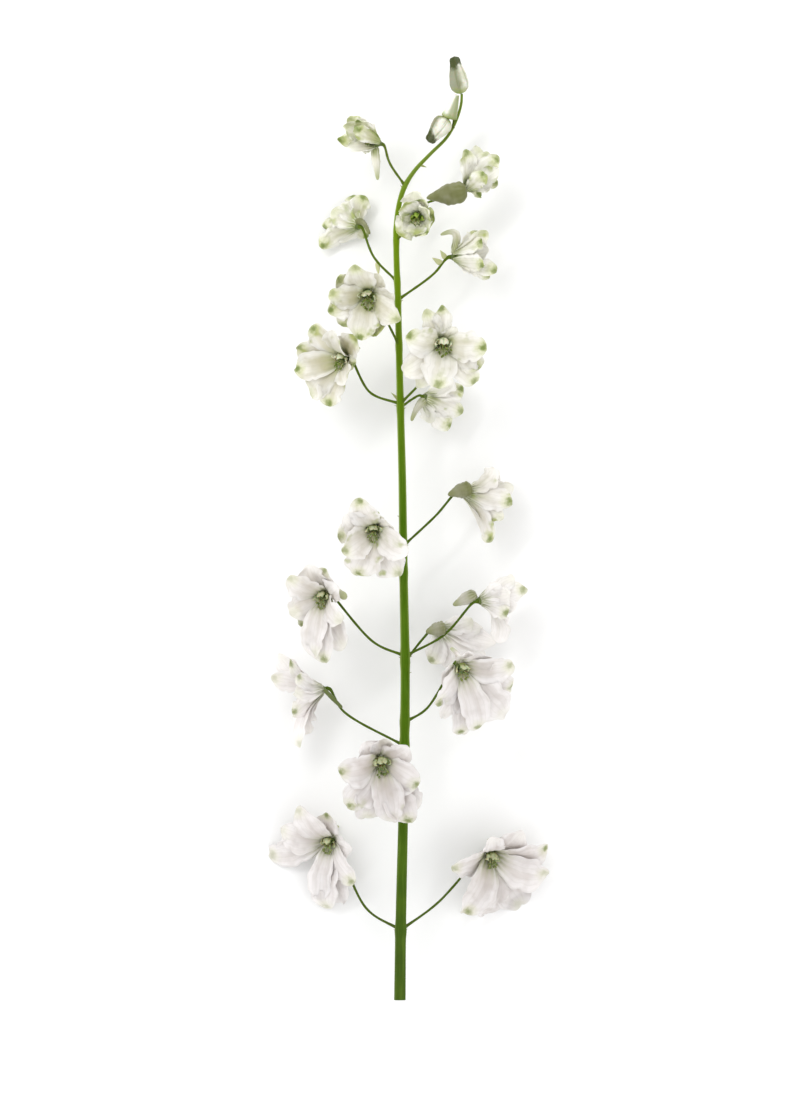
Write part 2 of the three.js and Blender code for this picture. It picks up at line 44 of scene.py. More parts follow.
# Places are [x, y, z] in millimetres: x and y from the middle of the cut end, y along the spike, z up from
# the table. The part's own origin is the middle of its footprint.
MM = 0.001
FOOTPRINT_MIDDLE = np.array([4.3, 236.0, 0.0])
STEM_HEIGHT = 24.0
STEM_RIBS = 7
# Half the height of a floret's receptacle.
HUB_HALF_HEIGHT = 2.1
# A bract grows as far below its pedicel as it is long. A floret higher than this over the stem shows none.
BRACT_LENGTH, BRACT_WIDTH, HIGHEST_WITH_BRACT = 1.8, 1.4, 15
# The tags of this piece's parts; the stem's is 0.
PEDICEL_TAG, LEAFLET_TAG, BRACTEOLE_TAG = 0.55, 0.8, 1.0

# The stem's axis as [x, y] and its diameter there.
STEM = np.array([
    [0, 0, 5.8], [0.4, 35, 5.4], [1.6, 90, 4.9], [2.6, 150, 4.7], [2.6, 172, 4.6], [1.8, 215, 4.2],
    [1.2, 260, 3.9], [0.2, 298, 3.6], [-1, 350, 3.2], [-1.8, 375, 3.0], [-1.5, 390, 2.8], [0.1, 400, 2.6],
    [2.5, 407, 2.4], [7.5, 414.8, 2.1], [14.8, 422.6, 1.8], [23.6, 431.5, 1.6], [28.2, 440, 1.5],
    [30.6, 448, 1.4], [30.9, 453, 1.3],
])

# The florets, 01 to 19 from the cut end up. The pedicel leaves the stem at the height node and passes via,
# the petals join at base, and the mouth faces that way. A petal is the [x, y] of its tip seen from above, the
# width that shows of it, how green its tip is, and on a floret seen from the side its tip's height over the
# base. Of some more is known: stain is how far olive spreads over the petals, grey how much shade they hold,
# eye the eye's size, full how much wider than shown the petals are, and layers how far they have opened. A
# spur leaves spur_from, or the base towards spur_side, bends at spur_bend and ends at spur_tip, with the
# radii spur_root and spur_end and as green as olive says. A bracteole is its share of the way along the
# pedicel, its direction, length and width.
FLORETS = [
    dict(node=35, via=(-17, 45.7, 16), base=(-34.5, 79.5, 6.4), faces=(-0.35, -0.4, 0.85),
         spur_tip=(-31, 86, 0.4), petals=[
        (-36, 93.5, 10, 1), (-25, 74.5, 11, 0.2), (-23, 58, 11, 0.8), (-29.5, 46.5, 12, 0.1),
        (-36.5, 43.5, 12, 0.6), (-40.5, 49.5, 10, 0), (-66, 72.5, 12, 0.6), (-60.5, 84.5, 13, 0.5),
        (-50, 97, 13, 0.6)]),
    dict(node=35, via=(19, 48.6, 20), base=(45, 73, 10), faces=(0.3, -0.6, 0.74), grey=0.9,
         spur_tip=(44.5, 79.5, 2), petals=[
        (61.5, 84, 13, 0.3), (75, 76, 12, 0.9), (73, 61.5, 15, 0.6), (61, 47, 16, 0.5), (43, 41.5, 15, 0.2),
        (32, 43.5, 15, 0.9), (26, 66, 13, 0.7), (47, 80.5, 10, 0.3)]),
    dict(node=94, via=(-5, 108, 30), base=(-9.5, 120.5, 49), faces=(0.1, -0.4, 0.91), stain=0.15, grey=1,
         eye=1.2, petals=[
        (-8, 131.5, 11, 0.4), (4, 127, 12, 0.2), (10, 108, 14, 0.9), (10, 96, 12, 0.3), (5, 89, 13, 1),
        (-4, 90, 13, 0.4), (-17, 90.5, 16, 0.5), (-27, 97, 14, 0.9), (-31, 115, 14, 0.9),
        (-17, 129, 13, 0.2)]),
    dict(node=127, via=(-28.5, 144.5, 19), base=(-39, 155, 15.7), faces=(-0.95, -0.15, 0.2), grey=0,
         spur_from=(-38, 155.3, 19), spur_tip=(-29, 146, 21), spur_root=1.1, olive=2.2, petals=[
        (-60.5, 173, 13, 0.4, -5), (-64.5, 162, 14, 0.6, 1), (-55, 170.5, 12, 0.9, 7),
        (-51.5, 162, 11, 0.8, 13), (-52.5, 154, 12, 0.5, 13), (-53.5, 142.5, 13, 1, 9),
        (-50, 126, 12, 0.6, 1), (-46, 132.5, 13, 0.3, -4), (-44, 139, 12, 0.2, -8)]),
    dict(node=139, via=(13, 145.4, 25), base=(29.5, 167.5, 44), faces=(0.4, -0.5, 0.77), petals=[
        (34, 173.5, 10, 0.2), (46, 171.5, 11, 0.3), (55.5, 168.5, 13, 0.7), (57, 155, 14, 0.8),
        (54, 141.5, 15, 0.4), (39, 133.5, 12, 0.8), (31, 130.5, 13, 1), (21.5, 141, 12, 0.3),
        (17.5, 149, 12, 0.9), (21, 158, 12, 0.2)]),
    dict(node=172, via=(-13, 178.8, 25), base=(-37, 202.5, 31), faces=(-0.45, -0.3, 0.84),
         spur_tip=(-26.8, 201, 34), spur_end=1.9, olive=0.4, petals=[
        (-38, 215.5, 10, 0.8), (-32, 207, 11, 0.1), (-29.5, 189, 11, 0.5), (-28, 176, 12, 0.4),
        (-38, 168.5, 12, 1), (-43, 172, 11, 0.5), (-49, 185.5, 13, 0.9), (-55.5, 194.5, 12, 0.5),
        (-56, 211, 13, 0.6), (-46, 217.5, 12, 0.2)]),
    dict(node=172, via=(22, 182.5, 23), base=(40.5, 199.8, 28), faces=(0.92, 0.15, -0.36), grey=0,
         spur_from=(38, 203, 29), spur_tip=(26.5, 197.5, 27), spur_root=3.2, olive=0.64, petals=[
        (50, 207, 9, 0.2, 5), (57, 212, 11, 0.4, -3), (63, 204.5, 12, 0.8, -6), (58, 196.5, 11, 0.2, 3),
        (55.5, 203, 11, 0.3, 9), (53, 192.5, 11, 0.9, 5), (48.5, 178.5, 13, 0.1, -6), (52, 186, 10, 0, -8)]),
    dict(node=169, via=(10.5, 179.5, 22), base=(19.5, 185, 20), faces=(0.6, -0.4, -0.69), stain=0.25,
         grey=0.1, spur_from=(22.5, 186.5, 22), spur_tip=(13, 184, 25), spur_root=3.6, olive=0.8, petals=[
        (15, 168.5, 13, 0.8, -7), (22.5, 166, 12, 0.1, -9), (42.5, 172, 13, 0.3, -12),
        (48, 178.5, 13, 0.3, -11), (42, 186, 13, 0.4, -9), (36.5, 190, 12, 0.5, -7)]),
    dict(node=214, via=(-5, 224, 32), base=(-12.5, 236, 48), faces=(-0.15, -0.4, 0.9), stain=0.3, petals=[
        (-13, 243, 9, 0.3), (-3, 235.5, 11, 0.3), (4, 223.5, 13, 0.1), (-1, 212, 14, 0.7),
        (-20.5, 211.5, 15, 1), (-29, 223.5, 13, 0.8), (-31, 233.5, 13, 0.8), (-28, 241.5, 12, 0.2),
        (-21, 250.5, 12, 0.9)]),
    dict(node=227, via=(18, 242.3, 23), base=(32.5, 253.5, 18.6), faces=(0.93, -0.25, -0.22), stain=0.3,
         spur_from=(35.5, 256.5, 22), spur_tip=(24, 252.5, 24), spur_root=3.8, olive=0.9, petals=[
        (47, 266, 13, 0.2, 4), (51, 261, 12, 0.2, -8), (57, 256, 13, 0.4, -2), (56, 249, 13, 1, 8),
        (52, 241, 13, 0.5, 2), (44, 228.5, 13, 1, 0), (46, 238, 13, 0.3, -9)]),
    dict(node=298, via=(-15, 303.8, 25), base=(-27, 320.5, 32), faces=(-0.6, -0.2, 0.77), stain=0.25, grey=1,
         full=1.14, petals=[
        (-23, 331.5, 13, 0.7), (-24, 318, 8, 1), (-27.5, 307, 11, 0.2), (-36, 296.5, 14, 1),
        (-45, 301.5, 13, 0.5), (-52, 316, 13, 1), (-51.5, 325, 13, 0.8), (-43, 337.5, 13, 0.9),
        (-33, 334, 12, 0.2)]),
    dict(node=298, via=(12, 311, 32), base=(20.5, 328, 46), faces=(0.2, -0.25, 0.95), stain=0.25, eye=1.2,
         full=1.14, petals=[
        (20.5, 346.5, 9, 0.9), (28, 335.5, 8, 0.3), (43, 326, 14, 1), (41, 316.5, 13, 0.7),
        (38.5, 308, 13, 0.8), (17, 306, 17, 0.8), (9, 305.5, 12, 0.5), (1.5, 313, 14, 0.4),
        (3, 330.5, 14, 0.9), (13, 344, 9, 0.6)]),
    dict(node=296, via=(5.5, 300, 24), base=(12.5, 301, 21), faces=(0.7, -0.35, -0.62), stain=0.3, grey=0.1,
         spur_tip=(5.7, 289.5, 26), spur_side=(-0.4, -0.8, 0.4), spur_root=2.8, olive=0.6, petals=[
        (25, 312, 13, 0.3, -6), (31.5, 306.5, 13, 1, -9), (31.5, 294, 13, 0.8, -9), (24.5, 285.5, 13, 1, -7),
        (15, 288.5, 12, 0.4, -6)]),
    dict(node=327, via=(-6.5, 339, 32), base=(-15.5, 352.5, 46), faces=(-0.1, -0.42, 0.9), stain=0.4,
         grey=0.8, eye=1.2, full=1.16, petals=[
        (-11, 362, 11, 0.3), (-3, 349, 11, 0.3), (0.5, 339, 12, 0.7), (-6.5, 337, 11, 0.4),
        (-12.5, 331, 14, 0.8), (-20, 329, 14, 1), (-30, 336, 12, 0.8), (-36, 343.5, 13, 1),
        (-35.5, 351.5, 12, 0.7), (-30.5, 361, 12, 0.8), (-22.5, 366.5, 14, 0.7)]),
    dict(node=359, via=(-13.2, 371.8, 18), base=(-21.3, 387.5, 13.6), faces=(-0.6, 0.3, -0.74), stain=0.65,
         spur_tip=(-15.2, 383, 26), olive=1.0, bracteoles=[(0.42, (0.1, -1, 0.1), 7.5, 4.0)], petals=[
        (-17, 402.5, 11, 0.9, -6), (-22.5, 403.8, 11, 1, -10), (-29, 399, 12, 0.3, -4),
        (-34.5, 394.5, 12, 0.5, -3), (-39.8, 388, 9, 1, -9), (-40, 376.8, 11, 0.9, -8),
        (-30, 379.5, 11, 0.2, -9), (-16, 382, 8, 0.9, -9)]),
    dict(node=350, via=(16.8, 363, 24), base=(27.5, 371.5, 24), faces=(0.94, 0.05, 0.33), stain=0.5, grey=0,
         spur_from=(26.5, 373, 24), spur_bend=(32, 388, 24), spur_tip=(20.3, 382.5, 25), spur_root=2.0,
         olive=0.1, bracteoles=[(0.82, (-1, 0.6, 0.3), 6.5, 5), (0.92, (-0.7, 1, 0.4), 6, 4.6)], petals=[
        (37, 384.5, 11, 0.8, -4), (43.5, 384.5, 11, 0.6, 3), (41.5, 379.5, 10, 1, 9), (45, 375, 12, 0.1, 2),
        (42, 367.5, 10, 0.9, 9), (48.5, 364.5, 11, 0.9, 2), (45.5, 362, 11, 0.9, -5),
        (38, 365.5, 11, 0.1, -4)]),
    dict(node=380, via=(5, 386, 32), base=(9, 391, 42), faces=(-0.2, -0.2, 0.96), stain=1, grey=0.1, eye=0.8,
         layers="half open", petals=[
        (6.5, 402.5, 11, 0.4), (11, 399.5, 9, 1), (14, 394.5, 9, 0.5), (15, 389, 10, 1), (14.5, 382.3, 10, 1),
        (7.5, 381.5, 11, 0.6), (-1.3, 382, 11, 0.5), (1, 391, 9, 0.3), (1.8, 398, 10, 0.9)]),
    dict(node=384, via=(11, 397.5, 18), base=(33.5, 406, 26), faces=(0.6, 0.62, 0.5), stain=0.65, grey=0.1,
         spur_from=(33, 404.2, 33), spur_tip=(13.3, 400.7, 30), spur_root=5.4, olive=1.0, petals=[
        (32.5, 425, 10, 1, 3), (38.5, 426.5, 12, 0.5, -3), (44, 424, 11, 0.6, 0), (48.7, 422, 11, 1, 3),
        (42.3, 412.5, 9, 1, 12), (49.7, 415, 11, 0.2, 4), (49, 408.5, 9, 0.9, 1), (45, 407, 9, 0.5, -5),
        (39.5, 402, 8, 1, -2)]),
    dict(node=407, via=(-5.2, 418.5, 25), base=(-11.3, 428.5, 26), faces=(-0.85, 0.3, 0.43), stain=1,
         spur_from=(-12.6, 427.5, 25), spur_tip=(-11.2, 410.2, 20), spur_root=2.1, petals=[
        (-21.5, 440.3, 10, 1, 5), (-25.5, 441.3, 10, 0.7, -1), (-22.3, 434.5, 8, 1, 12),
        (-28.3, 437, 10, 0.6, 4), (-31.3, 430.3, 8, 1, -1), (-26, 426.5, 9, 0.3, 3), (-20, 426, 9, 0.3, -3),
        (-17.5, 437.5, 9, 0.1, -3)]),
]
# The bud beside the tip; dark is the angle round its axis of its dark flank, in radians.
SIDE_BUD = dict(node=436, via=(26.8, 440.5, 25), base=(24, 441, 27), faces=(-0.62, -0.78, 0.1),
                length=15.4, radius=5.21, dark=1.9, spur_tip=(28.4, 452, 31))

# Leaflets that carry nothing: height on the stem, direction, how far they stand out of it, and width.
LONE_LEAFLETS = [
    (163, (1, 0.3, 0.1), 1.3, 1.4), (241, (-1, 0.4, 0.1), 1.4, 1.6),
    (299.5, (-1, 0.9, 0.2), 5.0, 2.8), (417.5, (1, -0.35, 0.1), 3.0, 2.0),
]


def unit(v):
    """The vectors v, each divided by its own length."""
    return v / np.linalg.norm(v, axis=-1, keepdims=True)


def with_values(patch, **values):
    """The patch with more values, each the same on all its points."""
    shape = patch["grid"].shape[:2]
    return {**patch, **{key: np.zeros(shape) + value for key, value in values.items()}}


def put(name, data):
    """A new object of the scene."""
    made = bpy.data.objects.new(name, data)
    bpy.context.scene.collection.objects.link(made)
    return made


def round_a_ring(count):
    """The angles of so many points, spread evenly round a ring."""
    return 2 * np.pi * np.arange(count) / count


def through(places, count):
    """A smooth curve through the places, as count points at even steps. Between two places it is the cubic
    that leaves and arrives with the slopes of a centripetal Catmull-Rom curve; its ends run straight."""
    places = np.asarray(places, float)
    row = np.vstack([2 * places[0] - places[1], places, 2 * places[-1] - places[-2]])
    steps = np.linalg.norm(np.diff(row, axis=0), axis=1)[:, None] ** 0.5
    before, here, after = steps[:-2], steps[1:-1], steps[2:]
    p0, p1, p2, p3 = row[:-3], row[1:-2], row[2:-1], row[3:]
    leave = here * ((p1 - p0) / before - (p2 - p0) / (before + here) + (p2 - p1) / here)
    arrive = here * ((p2 - p1) / here - (p3 - p1) / (here + after) + (p3 - p2) / after)
    t = np.linspace(0, 1, 60, endpoint=False)[None, :, None]
    p1, p2, leave, arrive = (v[:, None] for v in (p1, p2, leave, arrive))
    curve = (2 * t**3 - 3 * t**2 + 1) * p1 + (t**3 - 2 * t**2 + t) * leave
    curve = curve + (3 * t**2 - 2 * t**3) * p2 + (t**3 - t**2) * arrive
    curve = np.vstack([curve.reshape(-1, 3), places[-1]])
    reach = np.concatenate([[0], np.cumsum(np.linalg.norm(np.diff(curve, axis=0), axis=1))])
    even = np.linspace(0, reach[-1], count)
    return np.stack([np.interp(even, reach, curve[:, i]) for i in range(3)], axis=1)


def tube(path, radius, around, tag=0.0, **values):
    """A patch for skins(): rings of points square to a path, with one radius a ring or one a point, closed at
    its ends. The value along runs from 0 to 1, across is the cosine round the path, and tag tells the parts
    of a piece apart."""
    tangent = unit(np.gradient(path, axis=0))
    least = np.linalg.svd(tangent)[2][-1]
    side = unit(np.cross(tangent, least))
    other = np.cross(tangent, side)
    clock = round_a_ring(around)
    ring = side[:, None] * np.cos(clock)[None, :, None] + other[:, None] * np.sin(clock)[None, :, None]
    radius = np.asarray(radius, float).reshape(len(path), -1, 1)
    ends = [np.repeat(end, around, 1) for end in (path[:1, None], path[-1:, None])]
    grid = np.concatenate([ends[0], path[:, None] + ring * radius, ends[1]])
    along = np.repeat(np.linspace(0, 1, len(path))[[0, *range(len(path)), -1], None], around, 1)
    across = np.repeat(np.cos(clock)[None], len(path) + 2, 0)
    return with_values(dict(grid=grid, along=along, across=across), tag=tag, **values)


def skins(name, patches, slot, stands_for, *more_values):
    """One piece from closed patches. A patch holds a grid of (rings, points round a ring, 3), whose end rings
    are poles, and values: along, across, tag and those named become attributes of the points. Triangles join
    each ring to the next, turned round where a patch encloses less than nothing."""
    points, faces, values = [], [], {key: [] for key in ("along", "across", "tag", *more_values)}
    for patch in patches:
        grid = patch["grid"]
        rings, around = grid.shape[:2]
        last = (rings - 2) * around + 1
        number = np.arange(1, last).reshape(rings - 2, around)
        number = np.vstack([np.zeros((1, around), int), number, np.full((1, around), last)])
        beside = np.roll(number, -1, axis=1)
        corners = np.vstack([
            np.stack(triangle, -1).reshape(-1, 3) for triangle in [
                (beside[1], number[1], number[0]),
                (number[1:-2], beside[2:-1], number[2:-1]),
                (number[1:-1], beside[1:-1], beside[2:])]])
        place = np.vstack([grid[0].mean(0), grid[1:-1].reshape(-1, 3), grid[-1].mean(0)])
        a, b, c = (place[corners[:, i]] - place.mean(0) for i in range(3))
        if np.einsum("ij,ij->", a, np.cross(b, c)) < 0:
            corners = corners[:, ::-1]
        faces.append(corners + sum(len(p) for p in points))
        points.append(place)
        for key, store in values.items():
            value = patch[key]
            store.append(np.concatenate([[value[0].mean()], value[1:-1].ravel(), [value[-1].mean()]]))
    points = (np.vstack(points) - FOOTPRINT_MIDDLE) * MM
    mesh = bpy.data.meshes.new(name)
    mesh.from_pydata(points.tolist(), [], np.vstack(faces).tolist())
    for key, store in values.items():
        attribute = mesh.attributes.new(key, "FLOAT", "POINT")
        attribute.data.foreach_set("value", np.concatenate(store).astype(np.float32))
    mesh.shade_smooth()
    piece = put(name, mesh)
    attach(piece, "root")
    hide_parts(stands_for)
    return piece


def seat(plant):
    """Where a flower's parts join, and the frame of its mouth: the axis out of it, twelve o'clock towards the
    spike's tip, and three o'clock."""
    axis = unit(np.array(plant["faces"], float))
    twelve = unit(np.array([0, 1, 0]) - axis * axis[1])
    return np.array(plant["base"], float), (axis, twelve, np.cross(twelve, axis))


stem_path = through(np.column_stack([STEM[:, :2], np.full(len(STEM), STEM_HEIGHT)]), 240)


def stem_radius(height):
    return np.interp(height, STEM[:, 1], STEM[:, 2]) / 2


def on_stem(height):
    """The point of the stem's axis at a height."""
    return np.array([np.interp(height, stem_path[:, 1], stem_path[:, 0]), height, STEM_HEIGHT])


def ribbed_stem():
    """The radius swells by 2.5 per cent with the cosine of the clock angle times the number of ribs, and by
    13 per cent at a pedicel, as a bell 3 mm long to each side. The cut end is square, its rim worn back."""
    height = stem_path[:, 1]
    nodes = np.array([plant["node"] for plant in FLORETS])
    bell = np.exp(-(((height[:, None] - nodes) / 3.0) ** 2)).max(1)
    around = 28
    ribs = 0.025 * np.cos(STEM_RIBS * round_a_ring(around))
    radius = (stem_radius(height) * (1 + 0.13 * bell))[:, None] * (1 + ribs)
    path = np.vstack([stem_path[:1], stem_path])
    path[1, 1] += 0.15
    return tube(path, np.vstack([radius[:1] * 0.93, radius]), around)


def pedicel(plant, end_in):
    """A wiry stalk from the stem's axis to the back of the flower, and its path. It is 0.62 mm in radius, up
    to twice that over its first seventh, widens like a trumpet over its last sixth and wavers by a twentieth
    as a sine of the distance."""
    base, (axis, _, _) = seat(plant)
    end = base - axis * end_in
    path = through([on_stem(plant["node"]), plant["via"], end - axis * 2, end], 44)
    share = np.linspace(0, 1, len(path))
    swelling = np.clip(1 - share / 0.14, 0, 1) ** 1.5
    trumpet = np.clip((share - 0.84) / 0.16, 0, 1) ** 2
    radius = 0.62 + 0.55 * swelling + 0.7 * trumpet
    radius = radius * (1 + 0.05 * np.sin(31 * share + plant["node"]))
    return tube(path, radius, 12, PEDICEL_TAG), path


def leaflet(root, direction, length, width, tag=LEAFLET_TAG):
    """A narrow pointed leaflet, elliptic across and up to 0.56 mm thick, on a midrib that curves upwards with
    the square of the distance. It is widest, six tenths of width, a quarter of the way along."""
    along = unit(np.asarray(direction, float))
    sideways = unit(np.cross([0, 0, 1], along))
    up = np.cross(along, sideways)
    rows, around = 16, 12
    share = np.linspace(0, 1, rows)[:, None, None]
    clock = round_a_ring(around)[None, :, None]
    half = width / 2 * np.clip((1 - share) * (0.35 + 2.6 * share * np.exp(-1.6 * share)), 0, None)
    grid = root + along * share * length + up * share**2 * length * 0.18
    grid = grid + sideways * np.cos(clock) * half + up * np.sin(clock) * np.minimum(half, 0.28)
    grid[0] = grid[0].mean(0)
    along, across = np.repeat(share[..., 0], around, 1), np.repeat(np.cos(clock[..., 0]), rows, 0)
    return with_values(dict(grid=grid, along=along, across=across), tag=tag)


stem_patches = [ribbed_stem()]
for plant in [*FLORETS, SIDE_BUD]:
    stalk, path = pedicel(plant, end_in=-0.8 if plant is SIDE_BUD else HUB_HALF_HEIGHT - 0.4)
    stem_patches.append(stalk)
    if plant["base"][2] < STEM_HEIGHT + HIGHEST_WITH_BRACT:
        height = plant["node"] - BRACT_LENGTH
        length = stem_radius(height) + BRACT_LENGTH
        stem_patches.append(leaflet(on_stem(height), unit(path[1] - path[0]), length, BRACT_WIDTH))
    for share, heading, length, width in plant.get("bracteoles", []):
        root = path[int(share * (len(path) - 1))]
        stem_patches.append(leaflet(root, heading, length, width, BRACTEOLE_TAG))
for height, heading, length, width in LONE_LEAFLETS:
    stem_patches.append(leaflet(on_stem(height), heading, stem_radius(height) + length, width))
stem = skins("stem_and_pedicels", stem_patches, "stem", "stem")


class Paint:
    """A socket in a material's nodes that can stand in a Python expression. An operator on it adds a Math
    node, blend() a Mix node, and node() any other, from its settings and then its sockets."""

    def __init__(self, tree, socket=None):
        self.tree, self.socket = tree, socket

    def node(self, kind, settings=None, sockets=None, output=0):
        made = self.tree.nodes.new(kind)
        for key, value in (settings or {}).items():
            setattr(made, key, value)
        for key, value in (sockets or {}).items():
            if isinstance(value, Paint):
                self.tree.links.new(value.socket, made.inputs[key])
            else:
                made.inputs[key].default_value = value
        return Paint(self.tree, made.outputs[output])

    def maths(self, operation, *values):
        return self.node("ShaderNodeMath", {"operation": operation}, dict(enumerate(values)))

    def __add__(self, other): return self.maths("ADD", self, other)
    def __radd__(self, other): return self.maths("ADD", other, self)
    def __sub__(self, other): return self.maths("SUBTRACT", self, other)
    def __rsub__(self, other): return self.maths("SUBTRACT", other, self)
    def __mul__(self, other): return self.maths("MULTIPLY", self, other)
    def __rmul__(self, other): return self.maths("MULTIPLY", other, self)
    def __abs__(self): return self.maths("ABSOLUTE", self)
    def sine(self): return self.maths("SINE", self)

    def rise(self, low, high):
        """0 below low, 1 above high and smooth between; falls instead where low is above high."""
        sockets = {"Value": self, "From Min": low, "From Max": high}
        if not isinstance(low, Paint) and low > high:
            sockets.update({"From Min": high, "From Max": low, "To Min": 1.0, "To Max": 0.0})
        return self.node("ShaderNodeMapRange", {"interpolation_type": "SMOOTHSTEP"}, sockets)

    def blend(self, under, over):
        """The colour under, painted over with another as far as this value says."""
        under, over = (c if isinstance(c, Paint) else (*c, 1) for c in (under, over))
        settings = {"data_type": "RGBA", "clamp_factor": True}
        return self.node("ShaderNodeMix", settings, {0: self, 6: under, 7: over}, output=2)

    def attributes(self, *names):
        return (self.node("ShaderNodeAttribute", {"attribute_name": name}, output=2) for name in names)

    def place(self):
        """The point's place in the object's own metres."""
        return self.node("ShaderNodeTexCoord", output=3)

    def height(self):
        """How far up the spike a point lies, in metres from the middle of its length."""
        return self.node("ShaderNodeSeparateXYZ", None, {0: self.place()}, output=1)

    def noise(self, scale, detail=3.0, stretch=(1, 1, 1)):
        """Cloudy noise from 0 to 1, so many clouds a metre, stretched along the axes."""
        place = self.node("ShaderNodeMapping", None, {"Vector": self.place(), "Scale": stretch})
        return self.node("ShaderNodeTexNoise", None, {"Vector": place, "Scale": scale, "Detail": detail})


def finish_of(name, **constants):
    """A brush on a new material's nodes, and the function that coats it with colour, roughness and height,
    where height is the relief in metres for the bump, and returns it."""
    material = bpy.data.materials.new(name)
    material.use_nodes = True
    shader = material.node_tree.nodes["Principled BSDF"]
    for key, value in constants.items():
        shader.inputs[key.replace("_", " ")].default_value = value
    brush = Paint(material.node_tree)

    def coat(colour, roughness, height):
        bump = brush.node("ShaderNodeBump", None, {"Height": height, "Distance": 1.0, "Strength": 1.0})
        for part, entry in [(colour, "Base Color"), (roughness, "Roughness"), (bump, "Normal")]:
            material.node_tree.links.new(part.socket, shader.inputs[entry])
        return material

    return brush, coat


def washed(colour, *washes):
    """The colour with washes laid over it in turn, each with how far it covers and its colour."""
    for cover, over in washes:
        colour = cover.blend(colour, over)
    return colour


def green_shoot():
    """Fresh green, yellower up the spike, pale on the leaflets, brownish olive on the thin pedicels, with
    fine lengthwise fibres and a waxy bloom, and a painted highlight that makes both flanks of the stem paler."""
    brush, coat = finish_of("green_shoot", Subsurface_Weight=0.08, Subsurface_Scale=0.001,
                            Specular_IOR_Level=0.06, Sheen_Weight=0.3, Sheen_Roughness=0.35,
                            Sheen_Tint=(0.75, 0.9, 0.2, 1))
    tag, across = brush.attributes("tag", "across")
    height, clouds, fibres = brush.height(), brush.noise(70), brush.noise(900, 4, (1, 0.05, 1))
    # a painted highlight: the stem paler down both flanks, where its sides are seen edge-on from above
    flank = abs(across).rise(0.5, 1.0) * tag.rise(0.3, 0.1) * height.rise(-0.24, 0.0)
    colour = washed(
        height.rise(-0.24, -0.08).blend((0.040, 0.078, 0.008), (0.055, 0.125, 0.0005)),
        (height.rise(0.0, 0.14), (0.13, 0.22, 0.002)),
        (height.rise(0.15, 0.19), (0.14, 0.2, 0.03)),
        (clouds.rise(0.35, 0.75) * 0.3, (0.1, 0.18, 0.01)),
        (fibres.rise(0.45, 0.8) * 0.3, (0.15, 0.24, 0.03)),
        # the painted highlight down the stem's flanks
        (flank * 0.6, (0.33, 0.42, 0.11)),
        # pedicels, then leaflets, then bracteoles
        (tag.rise(0.3, 0.6) * 0.7, (0.07, 0.1, 0.014)),
        (tag.rise(0.6, 0.8) * 0.8, (0.33, 0.36, 0.15)),
        (tag.rise(0.85, 1.0), (0.52, 0.54, 0.29)),
    )
    return coat(colour, 0.42 + fibres * 0.2, fibres * 0.00012 + clouds * 0.0002)


def dress(pieces, material):
    for piece in pieces:
        piece.data.materials.append(material)


dress([stem], green_shoot())


# ---------- the florets: sepals and spurs ----------
# Five to eleven broad white sepals on narrow claws, soft as silk and thin enough to let light through, in
# three layers round a small green receptacle. Each has a thick blunt green tip, and the uppermost runs back
# into a hollow tapering spur. The florets open from the cut end up: the highest are small and half closed.

# How a sepal leaves its floret's axis, in three layers from the outermost in: its distance from the axis at
# the root, and its slope away from it there and at the tip. Angles are in degrees.
LAYERS = {
    "open": [(2.0, 34, 92), (1.8, 24, 82), (1.6, 13, 72)],
    "half open": [(1.9, 40, 66), (1.7, 32, 54), (1.5, 24, 44)],
}
# The same distance and slope on a floret seen from the side, and where on the axis all sepals start.
SIDE_ROOT, SIDE_SLOPE = 1.8, 20
SEPAL_START = -1.0
SEPAL_THICKNESS = 0.3
# The share of its length where a blade is widest, and its width at the claw and at the tip, before that is
# rounded, as shares of the widest.
WIDEST, CLAW, BLUNT = 0.64, 0.3, 0.78
# How much wider a sepal is than what shows of it.
FULLNESS = 1.28
# A sepal's length is sought between these. Over LONGEST_SEPAL it bends back further, up to MOST_REFLEXED.
SHORTEST_TRIED, LONGEST_TRIED = 9.0, 38.0
LONGEST_SEPAL, MOST_REFLEXED = 25, 112
# How far a tip's edge lies behind its middle, and the most that a blade turns to the sky.
TIP_LEAN, MOST_TWIST = 1.0, 45
# The least height over the table of a sepal's middle sheet, and of its skin.
LYING, FILM = 0.3, 0.04
CALLUS_RADIUS = 2.3
SPUR_LENGTH, SPUR_ROOT_RADIUS, SPUR_TIP_RADIUS = 15, 2.2, 0.8
# The tags of this piece's other parts; a sepal's is 0.
SPUR_TAG, RECEPTACLE_TAG = 0.5, 1.0
# What the shader is told of them: an outer face, unmarked, and far from any green spot.
NO_SEPAL = dict(outer=1.0, mark=0.0, stain=0.0, grey=0.5, callus=9.0)


def draw(key):
    """A number from 0 to 1 that is always the same for the same key: the fraction left of a large sine."""
    wave = np.sin(key * 12.9898) * 43758.5453
    return wave - np.floor(wave)


def spread(key, amount):
    """A drawn number from minus the amount to plus the amount."""
    return (draw(key) * 2 - 1) * amount


def at_clock(axes, clock):
    """The direction away from a mouth's axis at a clock angle, from twelve o'clock towards three."""
    _, twelve, three = axes
    return twelve * np.cos(np.radians(clock)) + three * np.sin(np.radians(clock))


def reach_to(tip, base, axes, root, start, end):
    """The clock angle and length of a blade whose tip lies at [x, y] seen from above, found by halving: it is
    too short while its arc, laid towards the tip, ends before it."""
    axis, twelve, three = axes
    start, end = np.radians([start, end])
    out = (np.cos(start) - np.cos(end)) / (end - start)
    up = (np.sin(end) - np.sin(start)) / (end - start)
    plane = np.array([twelve[:2], three[:2]]).T
    low, high = SHORTEST_TRIED, LONGEST_TRIED
    for _ in range(24):
        length = (low + high) / 2
        gap = (tip - base[:2] - axis[:2] * (SEPAL_START + up * length)) / (root + out * length)
        to_twelve, to_three = np.linalg.solve(plane, gap)
        clock = np.degrees(np.arctan2(to_three, to_twelve))
        low, high = (length, high) if np.hypot(to_twelve, to_three) > 1 else (low, length)
    return clock, low


